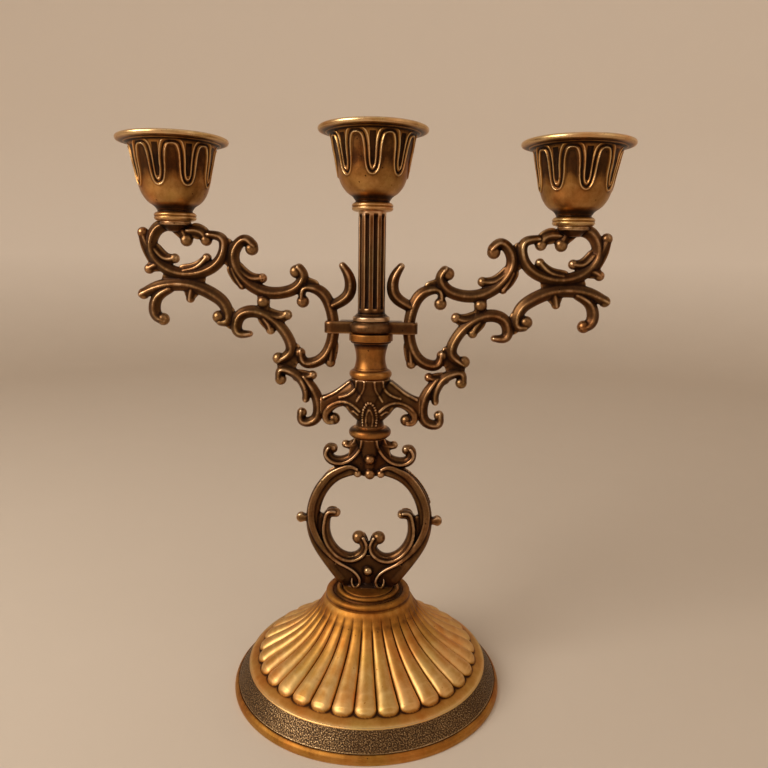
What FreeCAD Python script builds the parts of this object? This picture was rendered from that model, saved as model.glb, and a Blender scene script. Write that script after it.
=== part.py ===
"""Three-light cast brass candelabrum, millimetres, +Z up, origin under the middle of the base."""
import FreeCAD, Part
import math
import os

Vector = FreeCAD.Vector

# --- Driving dimensions -------------------------------------------------------------------
TOTAL_HEIGHT = 250.0
BASE_RADIUS = 61.85
CUP_OFFSET = 84.7            # axis of a side cup to the middle axis
SIDE_CUP_DROP = 5.0          # side cups stand this much lower than the middle cup
CUP_HEIGHT = 34.5
LIP_RADIUS = 22.6
CANDLE_RADIUS = 11.25        # socket for an ordinary 22 mm candle
CANDLE_DEPTH = 12.0

# Faces where the stacked pieces meet on the middle axis, from the base upwards
SEAT_Z = 45.6                # ring stem stands on the base
NECK_Z = 117.1               # saucer washer lies on the ring stem
HUB_FOOT_Z = 122.1
HUB_TOP_Z = 144.0
YOKE_Z = 163.9
COLUMN_FOOT_Z = 169.3
CUP_FOOT_Z = TOTAL_HEIGHT - CUP_HEIGHT

# Fits and fasteners
ROD_RADIUS = 2.5
STUD_RADIUS = 2.5
SCREW_RADIUS = 1.5
PEG_RADIUS = 1.6
PEG_Z = 130.6                # height of the peg that joins arm and hub
RUNNING_FIT = 0.05           # radial play where a piece turns on its rod or screw
TURNING_GAP = 0.05           # gap between faces that turn on each other

# Base
GADROONS = 32
GADROON_RELIEF = 2.6         # depth of the grooves, level with the ground
CEILING_Z = 36.6             # underside of the middle of the base

# Castings of the arms
SEAM_X = 21.5                # butt joint between hub and arm
BODY_DEPTH = 3.8             # front to back, flanks of a scroll
RIDGE_DEPTH = 6.0            # front to back, along the middle ridge of a scroll
WEB_DEPTH = 2.4              # thin plates between the scrolls
RIDGE_SHARE = 0.55           # width of the ridge as a share of the scroll
SAMPLES_PER_SPAN = 3


# --- Helpers ------------------------------------------------------------------------------
def flat(x, z):
    """Point of the x-z plane, in which every outline is drawn."""
    return Vector(x, 0, z)


def outline_face(start, *moves):
    """Closed face. A move of one point is a line, of two an arc, of more a smooth curve."""
    edges = []
    here = flat(*start)
    for move in moves + ((start,),):
        points = [here] + [flat(*p) for p in move]
        if points[-1].distanceToPoint(here) < 1e-9:
            continue
        if len(points) == 2:
            edges.append(Part.makeLine(points[0], points[1]))
        elif len(points) == 3:
            edges.append(Part.Arc(*points).toShape())
        else:
            curve = Part.BSplineCurve()
            curve.interpolate(points)
            edges.append(curve.toShape())
        here = points[-1]
    return Part.Face(Part.Wire(edges))


def turned(start, *moves):
    """Solid turned about the z axis from an outline_face."""
    return outline_face(start, *moves).revolve(Vector(0, 0, 0), Vector(0, 0, 1), 360)


def rod(radius, z_low, z_high, x=0.0):
    return Part.makeCylinder(radius, z_high - z_low, Vector(x, 0, z_low))


def torus(major, minor, z):
    return Part.makeTorus(major, minor, Vector(0, 0, z))


def joined(shapes):
    return shapes[0].multiFuse(shapes[1:]).removeSplitter()


def mirrored(shape):
    return shape.mirror(Vector(0, 0, 0), Vector(1, 0, 0))


def band_face(points, share=1.0):
    """Tapered band with round ends through (x, z, width) points, its width times share."""
    spine = Part.BSplineCurve()
    spine.interpolate([flat(x, z) for x, z, _ in points])
    stations = [spine.parameter(flat(x, z)) for x, z, _ in points]
    near_side, far_side = [], []
    for i in range(len(points) - 1):
        last_span = i == len(points) - 2
        for k in range(SAMPLES_PER_SPAN + (1 if last_span else 0)):
            t = k / SAMPLES_PER_SPAN
            place = stations[i] * (1 - t) + stations[i + 1] * t
            half = share * (points[i][2] * (1 - t) + points[i + 1][2] * t) / 2
            along = spine.tangent(place)[0]
            across = Vector(-along.z, 0, along.x)
            near_side.append(spine.value(place) + across * half)
            far_side.append(spine.value(place) - across * half)
    tips = []
    for place, width, sign in ((stations[0], points[0][2], -1), (stations[-1], points[-1][2], 1)):
        tips.append(spine.value(place) + spine.tangent(place)[0] * (sign * share * width / 2))
    near, far = Part.BSplineCurve(), Part.BSplineCurve()
    near.interpolate(near_side)
    far.interpolate(far_side)
    edges = [near.toShape(), Part.Arc(near_side[-1], tips[1], far_side[-1]).toShape(),
             far.toShape(), Part.Arc(far_side[0], tips[0], near_side[0]).toShape()]
    return Part.Face(Part.Wire(Part.__sortEdges__(edges)))


def plate(faces, depth):
    """Faces of the x-z plane merged and given a depth, half in front and half behind."""
    merged = faces[0].multiFuse(faces[1:]).removeSplitter() if len(faces) > 1 else faces[0]
    merged = merged.translated(Vector(0, -depth / 2, 0))
    return [face.extrude(Vector(0, depth, 0)) for face in merged.Faces]


def casting(scrolls, webs, knobs, body_depth, ridge_depth):
    """Scrollwork casting: bands with a middle ridge, thin webs and ball knobs."""
    solids = plate([band_face(s) for s in scrolls], body_depth)
    solids += plate([band_face(s, RIDGE_SHARE) for s in scrolls], ridge_depth)
    solids += plate([band_face(w) for w in webs], WEB_DEPTH)
    solids += [Part.makeSphere(r, flat(x, z)) for x, z, r in knobs]
    return joined(solids)


# --- Base ---------------------------------------------------------------------------------
def gadroon_ring(z, ridge_radius, relief):
    """Closed scalloped curve at one height: convex lobes with a narrow groove between."""
    points = []
    per_lobe = 6
    for i in range(GADROONS * per_lobe):
        angle = 2 * math.pi * i / (GADROONS * per_lobe)
        crown = (0.5 - 0.5 * math.cos(GADROONS * angle + math.pi)) ** 0.6
        radius = ridge_radius - relief * (1 - crown)
        points.append(Vector(radius * math.sin(angle), -radius * math.cos(angle), z))
    curve = Part.BSplineCurve()
    curve.interpolate(points, PeriodicFlag=True)
    return Part.Wire(curve.toShape())


def make_base():
    ridge_profile = ((12.6, 51.0), (15.2, 50.3), (17.0, 48.0), (19.0, 44.0), (22.3, 38.0),
                     (26.4, 32.0), (32.4, 26.0), (40.0, 20.8))
    rings = [gadroon_ring(z, r, GADROON_RELIEF * min(1.0, r / 40)) for z, r in ridge_profile]
    dome = Part.makeLoft(rings, True)
    foot = turned((0, 0), ((BASE_RADIUS, 0),), ((BASE_RADIUS, 0.9),), ((61.4, 2.8), (59.9, 3.7)),
                  ((54.7, 11.4),), ((50.0, 13.2),), ((0, 13.2),))
    crown = turned((0, 34), ((20.4, 34),), ((20.4, 39.8),), ((19.0, 42.0),), ((15.0, 43.6),),
                   ((11.4, SEAT_Z),), ((0, SEAT_Z),))
    solid = joined([foot, dome, crown, torus(17.8, 1.7, 43.0), torus(13.2, 1.2, 44.6)])
    hollow = turned((0, -1), ((57.5, -1),), ((57.5, 4.5),), ((51.5, 9.6),), ((45.0, 12.6),),
                    ((38.0, 17.2),), ((32.0, 21.2),), ((26.0, 27.0),), ((22.0, 32.6),),
                    ((16.0, CEILING_Z),), ((0, CEILING_Z),))
    stud_hole = rod(STUD_RADIUS + 0.2, CEILING_Z - 1, SEAT_Z + 1)
    return solid.cut(hollow).cut(stud_hole)


def make_base_washer():
    return rod(8.0, CEILING_Z - 1.5, CEILING_Z).cut(rod(STUD_RADIUS + 0.2, 0, SEAT_Z))


def hexagon(across_flats, z_low, z_high):
    corner = across_flats / math.sqrt(3)
    points = [Vector(corner * math.cos(math.pi * k / 3), corner * math.sin(math.pi * k / 3), z_low)
              for k in range(7)]
    return Part.Face(Part.makePolygon(points)).extrude(Vector(0, 0, z_high - z_low))


def make_base_nut():
    return hexagon(8.0, CEILING_Z - 5.5, CEILING_Z - 1.5).cut(rod(STUD_RADIUS, 0, SEAT_Z))


def make_foot_stud():
    return rod(STUD_RADIUS, CEILING_Z - 7.5, SEAT_Z + 10.0)


# --- Ring stem ----------------------------------------------------------------------------
RING_BAND = ((7.0, 101.3, 3.6), (14.8, 99.1, 5.4), (22.2, 91.5, 6.0), (25.7, 80.5, 6.0),
             (24.8, 69.4, 5.5), (19.7, 59.6, 5.3), (11.8, 49.2, 5.6))
HEART_SCROLL = ((14.7, 80.6, 3.3), (18.1, 80.7, 3.5), (19.9, 75.9, 3.9), (18.8, 67.0, 4.8),
                (13.5, 60.1, 5.7), (6.2, 59.1, 5.3), (1.9, 64.8, 3.9), (3.9, 68.8, 3.7))
TOP_SCROLL = ((3.4, 115.0, 3.8), (5.9, 109.8, 4.3), (12.4, 105.7, 4.5), (18.5, 107.8, 4.5),
              (17.9, 112.2, 3.4), (16.2, 112.1, 3.0))
RING_WEBS = (((22.9, 78.6, 4.3), (22.0, 68.7, 5.0), (16.3, 59.2, 5.0), (9.7, 52.4, 5.1)),
             ((4.2, 113.0, 5.3), (6.3, 107.6, 6.4), (13.7, 102.7, 4.3)))
HEART_WEB = ((0.0, 60.3, 9.9), (0.0, 52.8, 13.2))
CROSS_BAR = ((-9.0, 100.2, 3.9), (0.0, 97.4, 3.9), (9.0, 100.2, 3.9))
RING_KNOBS = ((4.4, 69.2, 2.8), (16.6, 81.4, 2.2), (16.4, 110.8, 2.1), (29.8, 78.1, 2.1))
RING_BODY_DEPTH = 5.6
RING_RIDGE_DEPTH = 8.4
ROD_FOOT_Z = 105.5           # blind end of the tie rod in the stem's neck


def make_ring_stem():
    spur = ((4.8, 115.4, 2.5), (8.9, 114.1, 2.5), (12.1, 112.9, 2.5))
    side_neck = ((26.6, 78.4, 3.2), (30.0, 78.4, 3.2))
    scrolls = [RING_BAND, HEART_SCROLL, TOP_SCROLL, spur, side_neck]
    webs = list(RING_WEBS)
    knobs = list(RING_KNOBS)
    for pieces in (scrolls, webs):
        pieces += [[(-x, z, width) for x, z, width in band] for band in list(pieces)]
    knobs += [(-x, z, radius) for x, z, radius in knobs]
    scrolls.append(CROSS_BAR)
    webs.append(HEART_WEB)
    solid = casting(scrolls, webs, knobs, RING_BODY_DEPTH, RING_RIDGE_DEPTH)
    neck = turned((0, 98), ((3.8, 98),), ((4.8, 105.5),), ((5.3, 111),), ((6.8, 115.6),),
                  ((6.8, NECK_Z),), ((0, NECK_Z),))
    foot = turned((0, SEAT_Z), ((10.6, SEAT_Z),), ((10.6, 47.2),), ((8.0, 48.6), (6.4, 52.0)),
                  ((4.4, 57.0),), ((0, 57.0),))
    solid = joined([solid, neck, foot])
    stud_hole = rod(STUD_RADIUS, SEAT_Z - 1, SEAT_Z + 10.0)
    rod_hole = rod(ROD_RADIUS, ROD_FOOT_Z, NECK_Z + 1)
    return solid.cut(stud_hole).cut(rod_hole)


def make_tie_rod():
    return rod(ROD_RADIUS, ROD_FOOT_Z, CUP_FOOT_Z + 12.5)


def make_saucer_washer():
    blank = turned((0, NECK_Z), ((7.9, NECK_Z),), ((9.45, 119.8), (7.7, HUB_FOOT_Z - TURNING_GAP)),
                   ((0, HUB_FOOT_Z - TURNING_GAP),))
    return blank.cut(rod(ROD_RADIUS, NECK_Z - 1, HUB_FOOT_Z + 1))


# --- Hub, spool, yoke and column ----------------------------------------------------------
def make_hub():
    half_body = outline_face((0, 139), ((8.4, HUB_TOP_Z - 0.4),),
                             ((12.5, 141.1), (16.2, 138.3), (SEAM_X, 136.1)), ((SEAM_X, 124.9),),
                             ((20.1, 122.8), (17.2, 122.4)), ((14.7, 125.4), (16.9, 128.0)),
                             ((13.2, 131.0), (8.5, 126.6)), ((5.2, 123.2),), ((0, 123.2),))
    volute = ((4.7, 129.6, 2.7), (12.0, 133.3, 3.8), (18.8, 130.0, 4.4), (19.0, 124.8, 3.4),
              (17.2, 124.0, 3.1))
    shoulder = ((6.8, 142.3, 1.9), (12.5, 139.6, 2.1), (20.2, 135.7, 2.1))
    core = turned((0, HUB_FOOT_Z), ((6.5, HUB_FOOT_Z),), ((6.3, 129), (7.1, 136.5), (8.8, HUB_TOP_Z)),
                  ((0, HUB_TOP_Z),))
    wing = joined(plate([half_body], 5.0) + plate([band_face(volute)], 7.6)
                  + plate([band_face(shoulder)], 7.0) + [Part.makeSphere(2.7, flat(16.3, 125.1))])
    solid = joined([core, wing, mirrored(wing)])
    beyond_seam = Part.makeBox(20, 20, 40, Vector(SEAM_X, -10, 110))
    solid = solid.cut(joined([beyond_seam, mirrored(beyond_seam)]))
    peg_holes = Part.makeCylinder(PEG_RADIUS, 2 * SEAM_X, Vector(-SEAM_X, 0, PEG_Z), Vector(1, 0, 0))
    peg_holes = peg_holes.cut(Part.makeBox(2 * (SEAM_X - 5), 20, 40, Vector(-(SEAM_X - 5), -10, 110)))
    return solid.cut(peg_holes).cut(rod(ROD_RADIUS + RUNNING_FIT, HUB_FOOT_Z - 1, HUB_TOP_Z + 1))


def make_waist_spool():
    blank = turned((0, HUB_TOP_Z), ((8.7, HUB_TOP_Z),), ((9.4, 146), (8.7, 148.0)), ((7.6, 148.3),),
                   ((6.5, 152.2), (7.7, 159.4)), ((8.9, 159.9),), ((8.9, 160.6),),
                   ((9.6, 160.8),), ((9.6, YOKE_Z - 0.3),), ((9.3, YOKE_Z),), ((0, YOKE_Z),))
    return blank.cut(rod(ROD_RADIUS + RUNNING_FIT, HUB_TOP_Z - 1, YOKE_Z + 1))


YOKE_HALF_LENGTH = 20.3
YOKE_HALF_DEPTH = 4.7
REBATE = (13.8, 19.4)        # nearest and farthest x of the rebate that holds a limb


def make_yoke():
    bar = Part.makeBox(2 * YOKE_HALF_LENGTH, 2 * YOKE_HALF_DEPTH, COLUMN_FOOT_Z - YOKE_Z,
                       Vector(-YOKE_HALF_LENGTH, -YOKE_HALF_DEPTH, YOKE_Z))
    upright = [e for e in bar.Edges if abs(e.tangentAt(0).z) > 0.9]
    bar = bar.makeFillet(3.0, upright)
    top_edges = [e for e in bar.Edges if e.BoundBox.ZMin > COLUMN_FOOT_Z - 0.01]
    bar = bar.makeChamfer(0.7, top_edges)
    ring = torus(7.4, 2.6, (YOKE_Z + COLUMN_FOOT_Z) / 2)
    solid = joined([bar, rod(7.4, YOKE_Z, COLUMN_FOOT_Z), ring])
    front_wall = -RIDGE_DEPTH / 2 - 0.15
    rebate = Part.makeBox(REBATE[1] - REBATE[0], 20, 10, Vector(REBATE[0], front_wall, YOKE_Z - 2))
    solid = solid.cut(joined([rebate, mirrored(rebate)]))
    return solid.cut(rod(ROD_RADIUS + RUNNING_FIT, YOKE_Z - 1, COLUMN_FOOT_Z + 1))


COLUMN_RADIUS = 5.95
FLUTES = 10
FLUTE_FOOT_Z = 174.8


def make_column():
    top = CUP_FOOT_Z - TURNING_GAP
    shaft = turned((0, COLUMN_FOOT_Z), ((8.1, COLUMN_FOOT_Z),), ((8.1, 171.0),), ((6.8, 172.2),),
                   ((COLUMN_RADIUS, 173.0),), ((COLUMN_RADIUS, top),), ((0, top),))
    flutes = []
    for k in range(FLUTES):
        angle = 2 * math.pi * (k + 0.5) / FLUTES
        reach = COLUMN_RADIUS + 0.9
        place = Vector(reach * math.sin(angle), reach * math.cos(angle), FLUTE_FOOT_Z)
        flutes.append(Part.makeCylinder(1.45, top - 1.5 - FLUTE_FOOT_Z, place))
    shaft = shaft.cut(Part.makeCompound(flutes))
    return shaft.cut(rod(ROD_RADIUS + RUNNING_FIT, COLUMN_FOOT_Z - 1, TOTAL_HEIGHT))


# --- Arms ---------------------------------------------------------------------------------
# Centre lines of the right arm's scrolls, as (x, z, width) points from tip to tip
CUP_LOOP = ((86.5, 209.2, 4.6), (91.6, 208.1, 5.4), (95.2, 203.3, 5.0), (95.4, 197.4, 5.2),
            (89.5, 190.6, 5.2), (80.6, 188.2, 5.0), (71.4, 190.1, 4.9), (64.8, 196.4, 4.5),
            (64.7, 203.5, 4.0), (70.1, 205.1, 3.4))
END_SCROLL = ((102.0, 178.8, 3.7), (94.5, 181.6, 5.1), (85.9, 183.7, 5.7), (77.2, 182.9, 5.7),
              (68.8, 179.2, 5.7), (63.5, 173.5, 5.1), (63.8, 167.9, 4.3), (66.3, 167.7, 3.5))
END_HOOK = ((88.5, 181.6, 3.7), (94.5, 177.0, 4.7), (94.2, 169.4, 4.7), (91.5, 168.0, 3.7))
MID_SCROLL = ((51.4, 200.8, 4.2), (54.2, 203.1, 4.3), (59.4, 198.5, 4.9), (58.9, 191.2, 5.1),
              (53.7, 184.8, 5.3), (46.1, 181.0, 5.3), (37.7, 181.1, 5.1), (31.0, 184.6, 4.5),
              (29.4, 188.3, 4.0), (31.2, 191.4, 3.4))
LIMB = ((30.3, 178.4, 3.1), (29.6, 182.3, 3.1), (23.3, 182.3, 4.7), (18.2, 175.7, 4.9), (16.5, 166.7, 4.9),
        (18.1, 157.4, 5.0), (23.5, 151.1, 4.8), (29.4, 150.7, 4.4), (31.0, 155.3, 2.9))
LOW_SCROLL = ((53.6, 162.6, 2.7), (58.5, 163.2, 4.3), (58.4, 169.4, 5.1), (51.8, 172.5, 5.3),
              (43.6, 169.4, 4.9), (37.3, 162.6, 4.7), (35.4, 155.3, 4.8), (40.0, 151.3, 3.9))
TAIL_SCROLL = ((40.7, 143.2, 3.3), (40.1, 146.5, 3.6), (34.7, 145.9, 4.4), (29.9, 141.1, 4.2),
               (28.6, 135.6, 3.4), (28.8, 133.9, 3.2))
ROOT_SCROLL = ((29.1, 143.6, 3.3), (24.6, 136.6, 4.8), (23.1, 129.7, 4.9), (25.5, 124.2, 4.5),
               (30.4, 123.9, 4.0), (30.9, 128.3, 3.0))
CRESCENT = ((12.9, 193.6, 2.0), (9.9, 188.4, 4.1), (9.8, 181.0, 5.1), (16.8, 175.7, 4.5))
SCROLLS = (CUP_LOOP, END_SCROLL, END_HOOK, MID_SCROLL, LIMB, LOW_SCROLL, TAIL_SCROLL, ROOT_SCROLL, CRESCENT)

# Leaves and spurs that break from the scrolls, thinner than the scrolls themselves
HANG_LEAF = ((82.5, 208.8, 3.6), (80.2, 204.1, 4.2), (80.1, 202.5, 4.4))
WAVE_LEAF = ((80.5, 206.6, 2.8), (76.4, 206.2, 3.0), (72.4, 204.8, 3.6), (71.5, 202.4, 3.6))
OUTER_SPUR = ((96.4, 197.5, 2.6), (98.1, 202.6, 2.8), (100.6, 206.5, 3.0))
LOW_OUTER_SPUR = ((91.7, 191.6, 2.6), (95.8, 191.0, 2.6), (97.7, 189.8, 2.8))
INNER_SPUR = ((93.9, 198.2, 2.6), (89.1, 194.2, 3.0), (85.1, 194.4, 3.6))
INNER_LEAF = ((81.6, 189.6, 2.6), (75.8, 191.2, 2.9), (71.2, 195.8, 2.8))
END_BUD = ((78.6, 181.6, 3.9), (79.1, 179.0, 3.5), (79.4, 177.2, 2.5))
MID_LEAF = ((58.5, 191.4, 2.4), (52.1, 186.8, 2.8), (47.0, 187.1, 3.1))
MID_SPUR = ((60.2, 190.6, 2.6), (58.2, 186.2, 2.6), (56.2, 183.2, 2.6))
LIMB_SPUR = ((17.1, 158.4, 2.7), (17.6, 152.7, 3.1), (17.7, 150.1, 3.5))
LOW_SPUR = ((46.8, 169.2, 3.0), (44.9, 166.5, 3.2), (44.0, 164.2, 3.2))
LOW_LEAF = ((47.2, 172.0, 3.7), (39.7, 170.2, 3.9), (36.6, 171.3, 3.3))
TAIL_LEAF = ((32.2, 144.4, 2.7), (26.8, 144.4, 3.1), (25.4, 145.0, 3.1))
LEAVES = (HANG_LEAF, WAVE_LEAF, OUTER_SPUR, LOW_OUTER_SPUR, INNER_SPUR, INNER_LEAF, END_BUD,
          MID_LEAF, MID_SPUR, LIMB_SPUR, LOW_SPUR, LOW_LEAF, TAIL_LEAF)
LEAF_DEPTH = 3.2

WEBS = (((88.8, 186.3, 5.3), (75.1, 186.3, 5.3)), ((62.2, 201.8, 3.6), (62.1, 194.0, 4.1)),
        ((62.2, 172.3, 4.3), (61.8, 166.7, 4.3)), ((33.1, 156.9, 3.5), (33.7, 151.1, 3.7)),
        ((38.9, 149.0, 5.2), (35.4, 149.5, 5.2)), ((28.1, 185.7, 4.1), (25.0, 184.6, 4.1)))
KNOBS = ((51.6, 199.3, 2.4), (32.4, 190.2, 2.2), (29.9, 177.4, 2.5), (66.9, 169.8, 2.4),
         (40.8, 151.8, 2.2), (40.0, 142.4, 2.2), (47.2, 176.8, 2.8), (80.0, 202.7, 2.3))
POST = ((47.1, 181.0, 5.1), (47.2, 172.4, 5.1))


def make_right_arm():
    solid = casting(SCROLLS + (POST,), WEBS, KNOBS, BODY_DEPTH, RIDGE_DEPTH)
    leaves = plate([band_face(leaf) for leaf in LEAVES], LEAF_DEPTH)
    cup_floor = CUP_FOOT_Z - SIDE_CUP_DROP - TURNING_GAP
    seat = rod(6.6, cup_floor - 1.6, cup_floor, CUP_OFFSET)
    throat = Part.makeCone(3.2, 6.0, 2.6, Vector(CUP_OFFSET, 0, cup_floor - 4.2))
    tongue = Part.makeBox(4.0, 4.6, 10.6, Vector(SEAM_X - 0.4, -2.3, 125.2))
    peg = Part.makeCylinder(PEG_RADIUS, 6.0, Vector(SEAM_X - 4.8, 0, PEG_Z), Vector(1, 0, 0))
    solid = joined([solid, seat, throat, tongue] + leaves)
    before_seam = Part.makeBox(10, 20, 20, Vector(SEAM_X - 10, -10, 120))
    under_cup = Part.makeBox(22, 20, 3, Vector(CUP_OFFSET - 11, -10, cup_floor))
    solid = solid.cut(before_seam).cut(under_cup).fuse(peg)
    return solid.cut(rod(SCREW_RADIUS, cup_floor - 4.4, cup_floor + 1, CUP_OFFSET))


# --- Cups ---------------------------------------------------------------------------------
RECESS_Z = 9.2               # floor of the recess for the nut or screw head
RECESS_RADIUS = 4.8
SOCKET_Z = 12.7              # the candle stands here


def make_cup(x, z, hole_radius):
    """Lipped candle cup whose foot stands at (x, z)."""
    solid = turned((0, 0), ((6.5, 0),), ((8.95, 2.0), (6.9, 4.0)), ((7.5, 4.6),),
                   ((10.95, 7.6), (13.65, 11.5), (15.2, 15.5), (16.9, 23.3), (18.1, 30.0), (18.7, 31.7)),
                   ((LIP_RADIUS - 0.9, 31.9),), ((LIP_RADIUS, 33.2), (LIP_RADIUS - 0.9, CUP_HEIGHT)),
                   ((0, CUP_HEIGHT),))
    socket = turned((0, RECESS_Z), ((RECESS_RADIUS, RECESS_Z),), ((RECESS_RADIUS, SOCKET_Z),),
                    ((CANDLE_RADIUS, SOCKET_Z),), ((CANDLE_RADIUS, SOCKET_Z + CANDLE_DEPTH),),
                    ((16.0, 31.9),), ((20.9, CUP_HEIGHT + 0.1),), ((0, CUP_HEIGHT + 0.1),))
    solid = solid.cut(socket).cut(rod(hole_radius, -1, RECESS_Z + 1))
    return solid.translated(Vector(x, 0, z))


def make_cup_screw(x):
    foot = CUP_FOOT_Z - SIDE_CUP_DROP
    head_z = foot + RECESS_Z + TURNING_GAP
    shank = rod(SCREW_RADIUS, foot - 4.4, head_z + 0.5, x)
    head = rod(3.4, head_z, head_z + 2.4, x)
    slot = Part.makeBox(8, 0.9, 2, Vector(x - 4, -0.45, head_z + 1.3))
    return shank.fuse(head).removeSplitter().cut(slot)


def make_centre_cup_nut():
    low = CUP_FOOT_Z + RECESS_Z + TURNING_GAP
    return hexagon(8.0, low, low + 3.2).cut(rod(ROD_RADIUS, low - 1, low + 5))


# --- The pieces ---------------------------------------------------------------------------
def make_all():
    right_arm = make_right_arm()
    side_z = CUP_FOOT_Z - SIDE_CUP_DROP
    return {
        "base": make_base(),
        "base_washer": make_base_washer(),
        "base_nut": make_base_nut(),
        "foot_stud": make_foot_stud(),
        "ring_stem": make_ring_stem(),
        "tie_rod": make_tie_rod(),
        "saucer_washer": make_saucer_washer(),
        "hub": make_hub(),
        "left_arm": mirrored(right_arm),
        "right_arm": right_arm,
        "waist_spool": make_waist_spool(),
        "yoke": make_yoke(),
        "column": make_column(),
        "centre_cup": make_cup(0, CUP_FOOT_Z, ROD_RADIUS + RUNNING_FIT),
        "centre_cup_nut": make_centre_cup_nut(),
        "left_cup": make_cup(-CUP_OFFSET, side_z, SCREW_RADIUS + RUNNING_FIT),
        "right_cup": make_cup(CUP_OFFSET, side_z, SCREW_RADIUS + RUNNING_FIT),
        "left_cup_screw": make_cup_screw(-CUP_OFFSET),
        "right_cup_screw": make_cup_screw(CUP_OFFSET),
    }


os.makedirs("parts", exist_ok=True)
for node, shape in make_all().items():
    shape.exportStep("parts/" + node + ".step")
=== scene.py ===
"""Looks of the antiqued brass candelabrum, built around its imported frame.

Ornament is drawn in millimetres of a piece 250 mm high, +Z up, middle axis at x = y = 0.
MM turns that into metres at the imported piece's own size.
"""
import math

import bmesh
import bpy
import numpy as np
from mathutils import Matrix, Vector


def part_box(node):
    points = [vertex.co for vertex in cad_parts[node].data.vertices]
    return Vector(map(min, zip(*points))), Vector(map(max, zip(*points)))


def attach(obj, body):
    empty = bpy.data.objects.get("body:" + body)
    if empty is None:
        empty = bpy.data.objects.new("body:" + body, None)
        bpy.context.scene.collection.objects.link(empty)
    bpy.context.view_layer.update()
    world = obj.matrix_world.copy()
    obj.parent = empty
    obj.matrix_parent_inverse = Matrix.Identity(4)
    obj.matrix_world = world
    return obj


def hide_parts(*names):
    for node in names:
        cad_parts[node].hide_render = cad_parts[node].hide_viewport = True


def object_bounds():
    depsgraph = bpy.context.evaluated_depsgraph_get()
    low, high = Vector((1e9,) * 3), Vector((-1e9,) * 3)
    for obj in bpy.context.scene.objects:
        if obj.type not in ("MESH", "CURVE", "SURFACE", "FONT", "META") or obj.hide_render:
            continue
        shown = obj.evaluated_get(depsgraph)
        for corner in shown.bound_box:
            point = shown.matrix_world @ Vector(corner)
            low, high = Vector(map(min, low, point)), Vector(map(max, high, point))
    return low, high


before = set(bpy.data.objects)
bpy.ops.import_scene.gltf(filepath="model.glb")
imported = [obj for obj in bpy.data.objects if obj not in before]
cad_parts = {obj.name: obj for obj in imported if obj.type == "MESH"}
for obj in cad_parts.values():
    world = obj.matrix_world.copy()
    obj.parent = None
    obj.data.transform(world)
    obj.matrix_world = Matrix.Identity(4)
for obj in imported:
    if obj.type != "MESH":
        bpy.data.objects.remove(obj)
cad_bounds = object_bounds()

DRAWN_HEIGHT = 250.0
MM = (cad_bounds[1].z - cad_bounds[0].z) / DRAWN_HEIGHT


def box(node):
    """Lowest and highest corner of a CAD node, in drawn millimetres."""
    low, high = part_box(node)
    return np.array(low) / MM, np.array(high) / MM


# --- Places taken from the frame ---
BASE_RADIUS = (box("base")[1][0] - box("base")[0][0]) / 2
SEAT_Z = box("base")[1][2]
NECK_Z = box("ring_stem")[1][2]
HUB_FOOT_Z = box("hub")[0][2]
HUB_TOP_Z = box("hub")[1][2]
SPOOL_TOP_Z = box("waist_spool")[1][2]
COLUMN_FOOT_Z = box("column")[0][2]
COLUMN_TOP_Z = box("column")[1][2]
CENTRE_CUP_Z = box("centre_cup")[0][2]
SIDE_CUP_Z = box("right_cup")[0][2]
SIDE_CUP_X = (box("right_cup")[0][0] + box("right_cup")[1][0]) / 2
CUP_HEIGHT = box("centre_cup")[1][2] - CENTRE_CUP_Z

# --- Ornament dimensions ---
GADROONS = 32
FLUTES = 10
MEANDER_PERIODS = 8
ROD_CLEARANCE = 2.6  # radius left free round the tie rod
TINY = 0.02  # radius that stands for the axis inside a cast core
SEAT_GAP = 0.05  # a turned face stays this far below the piece that turns on it
LATHE_COLUMNS = 160
CORE_COLUMNS = 64  # of a turned core that is fused into a casting
VOXEL = 0.3  # grid of the cast pieces
YOKE_VOXEL = 0.25
CASTING_ROUNDS = 2  # rounds of softening after the remesh
YOKE_ROUNDS = 16
SOFTENING = 0.14  # what the softening of a casting takes from each side of a band
BAND_SPACING = 0.6  # between the sections of a band
BAND_SIDES = 40
BAND_CAP = (25, 45, 62, 76, 86)  # degrees of the sections in a band's round end
BEAD_RISE = 0.75  # a bead stands at most this far from the face it sits on
SCROLL_DEPTH = 3.05  # half depth of a full scroll and of a leaf
LEAF_DEPTH = 2.35


# --- Curves and outlines ---
def smooth_curve(points, spacing):
    """Natural cubic spline through points (rows), sampled about every spacing."""
    points = np.array(points, float)
    chord = np.linalg.norm(np.diff(points[:, :2], axis=0), axis=1)
    knots = np.concatenate([[0.0], np.cumsum(chord)])
    count = len(points)
    system = np.eye(count)
    target = np.zeros_like(points)
    for i in range(1, count - 1):
        system[i, i - 1:i + 2] = chord[i - 1], 2 * (chord[i - 1] + chord[i]), chord[i]
        slopes = np.diff(points[i - 1:i + 2], axis=0) / chord[i - 1:i + 1, None]
        target[i] = 6 * (slopes[1] - slopes[0])
    bend = np.linalg.solve(system, target)
    places = np.linspace(0, knots[-1], max(3, int(knots[-1] / spacing) + 1))
    k = np.clip(np.searchsorted(knots, places, side="right") - 1, 0, count - 2)
    span = chord[k][:, None]
    after = (places - knots[k])[:, None]
    before = span - after
    cubic = (bend[k] * before ** 3 + bend[k + 1] * after ** 3) / (6 * span)
    linear = (points[k] / span - bend[k] * span / 6) * before
    return cubic + linear + (points[k + 1] / span - bend[k + 1] * span / 6) * after


def arc(centre, radius, start, end, steps=8):
    """Points of a circular arc in the (r, z) plane, angles in degrees from +r towards +z."""
    turn = np.radians(np.linspace(start, end, steps))
    return [(centre[0] + radius * math.cos(t), centre[1] + radius * math.sin(t)) for t in turn]


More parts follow.
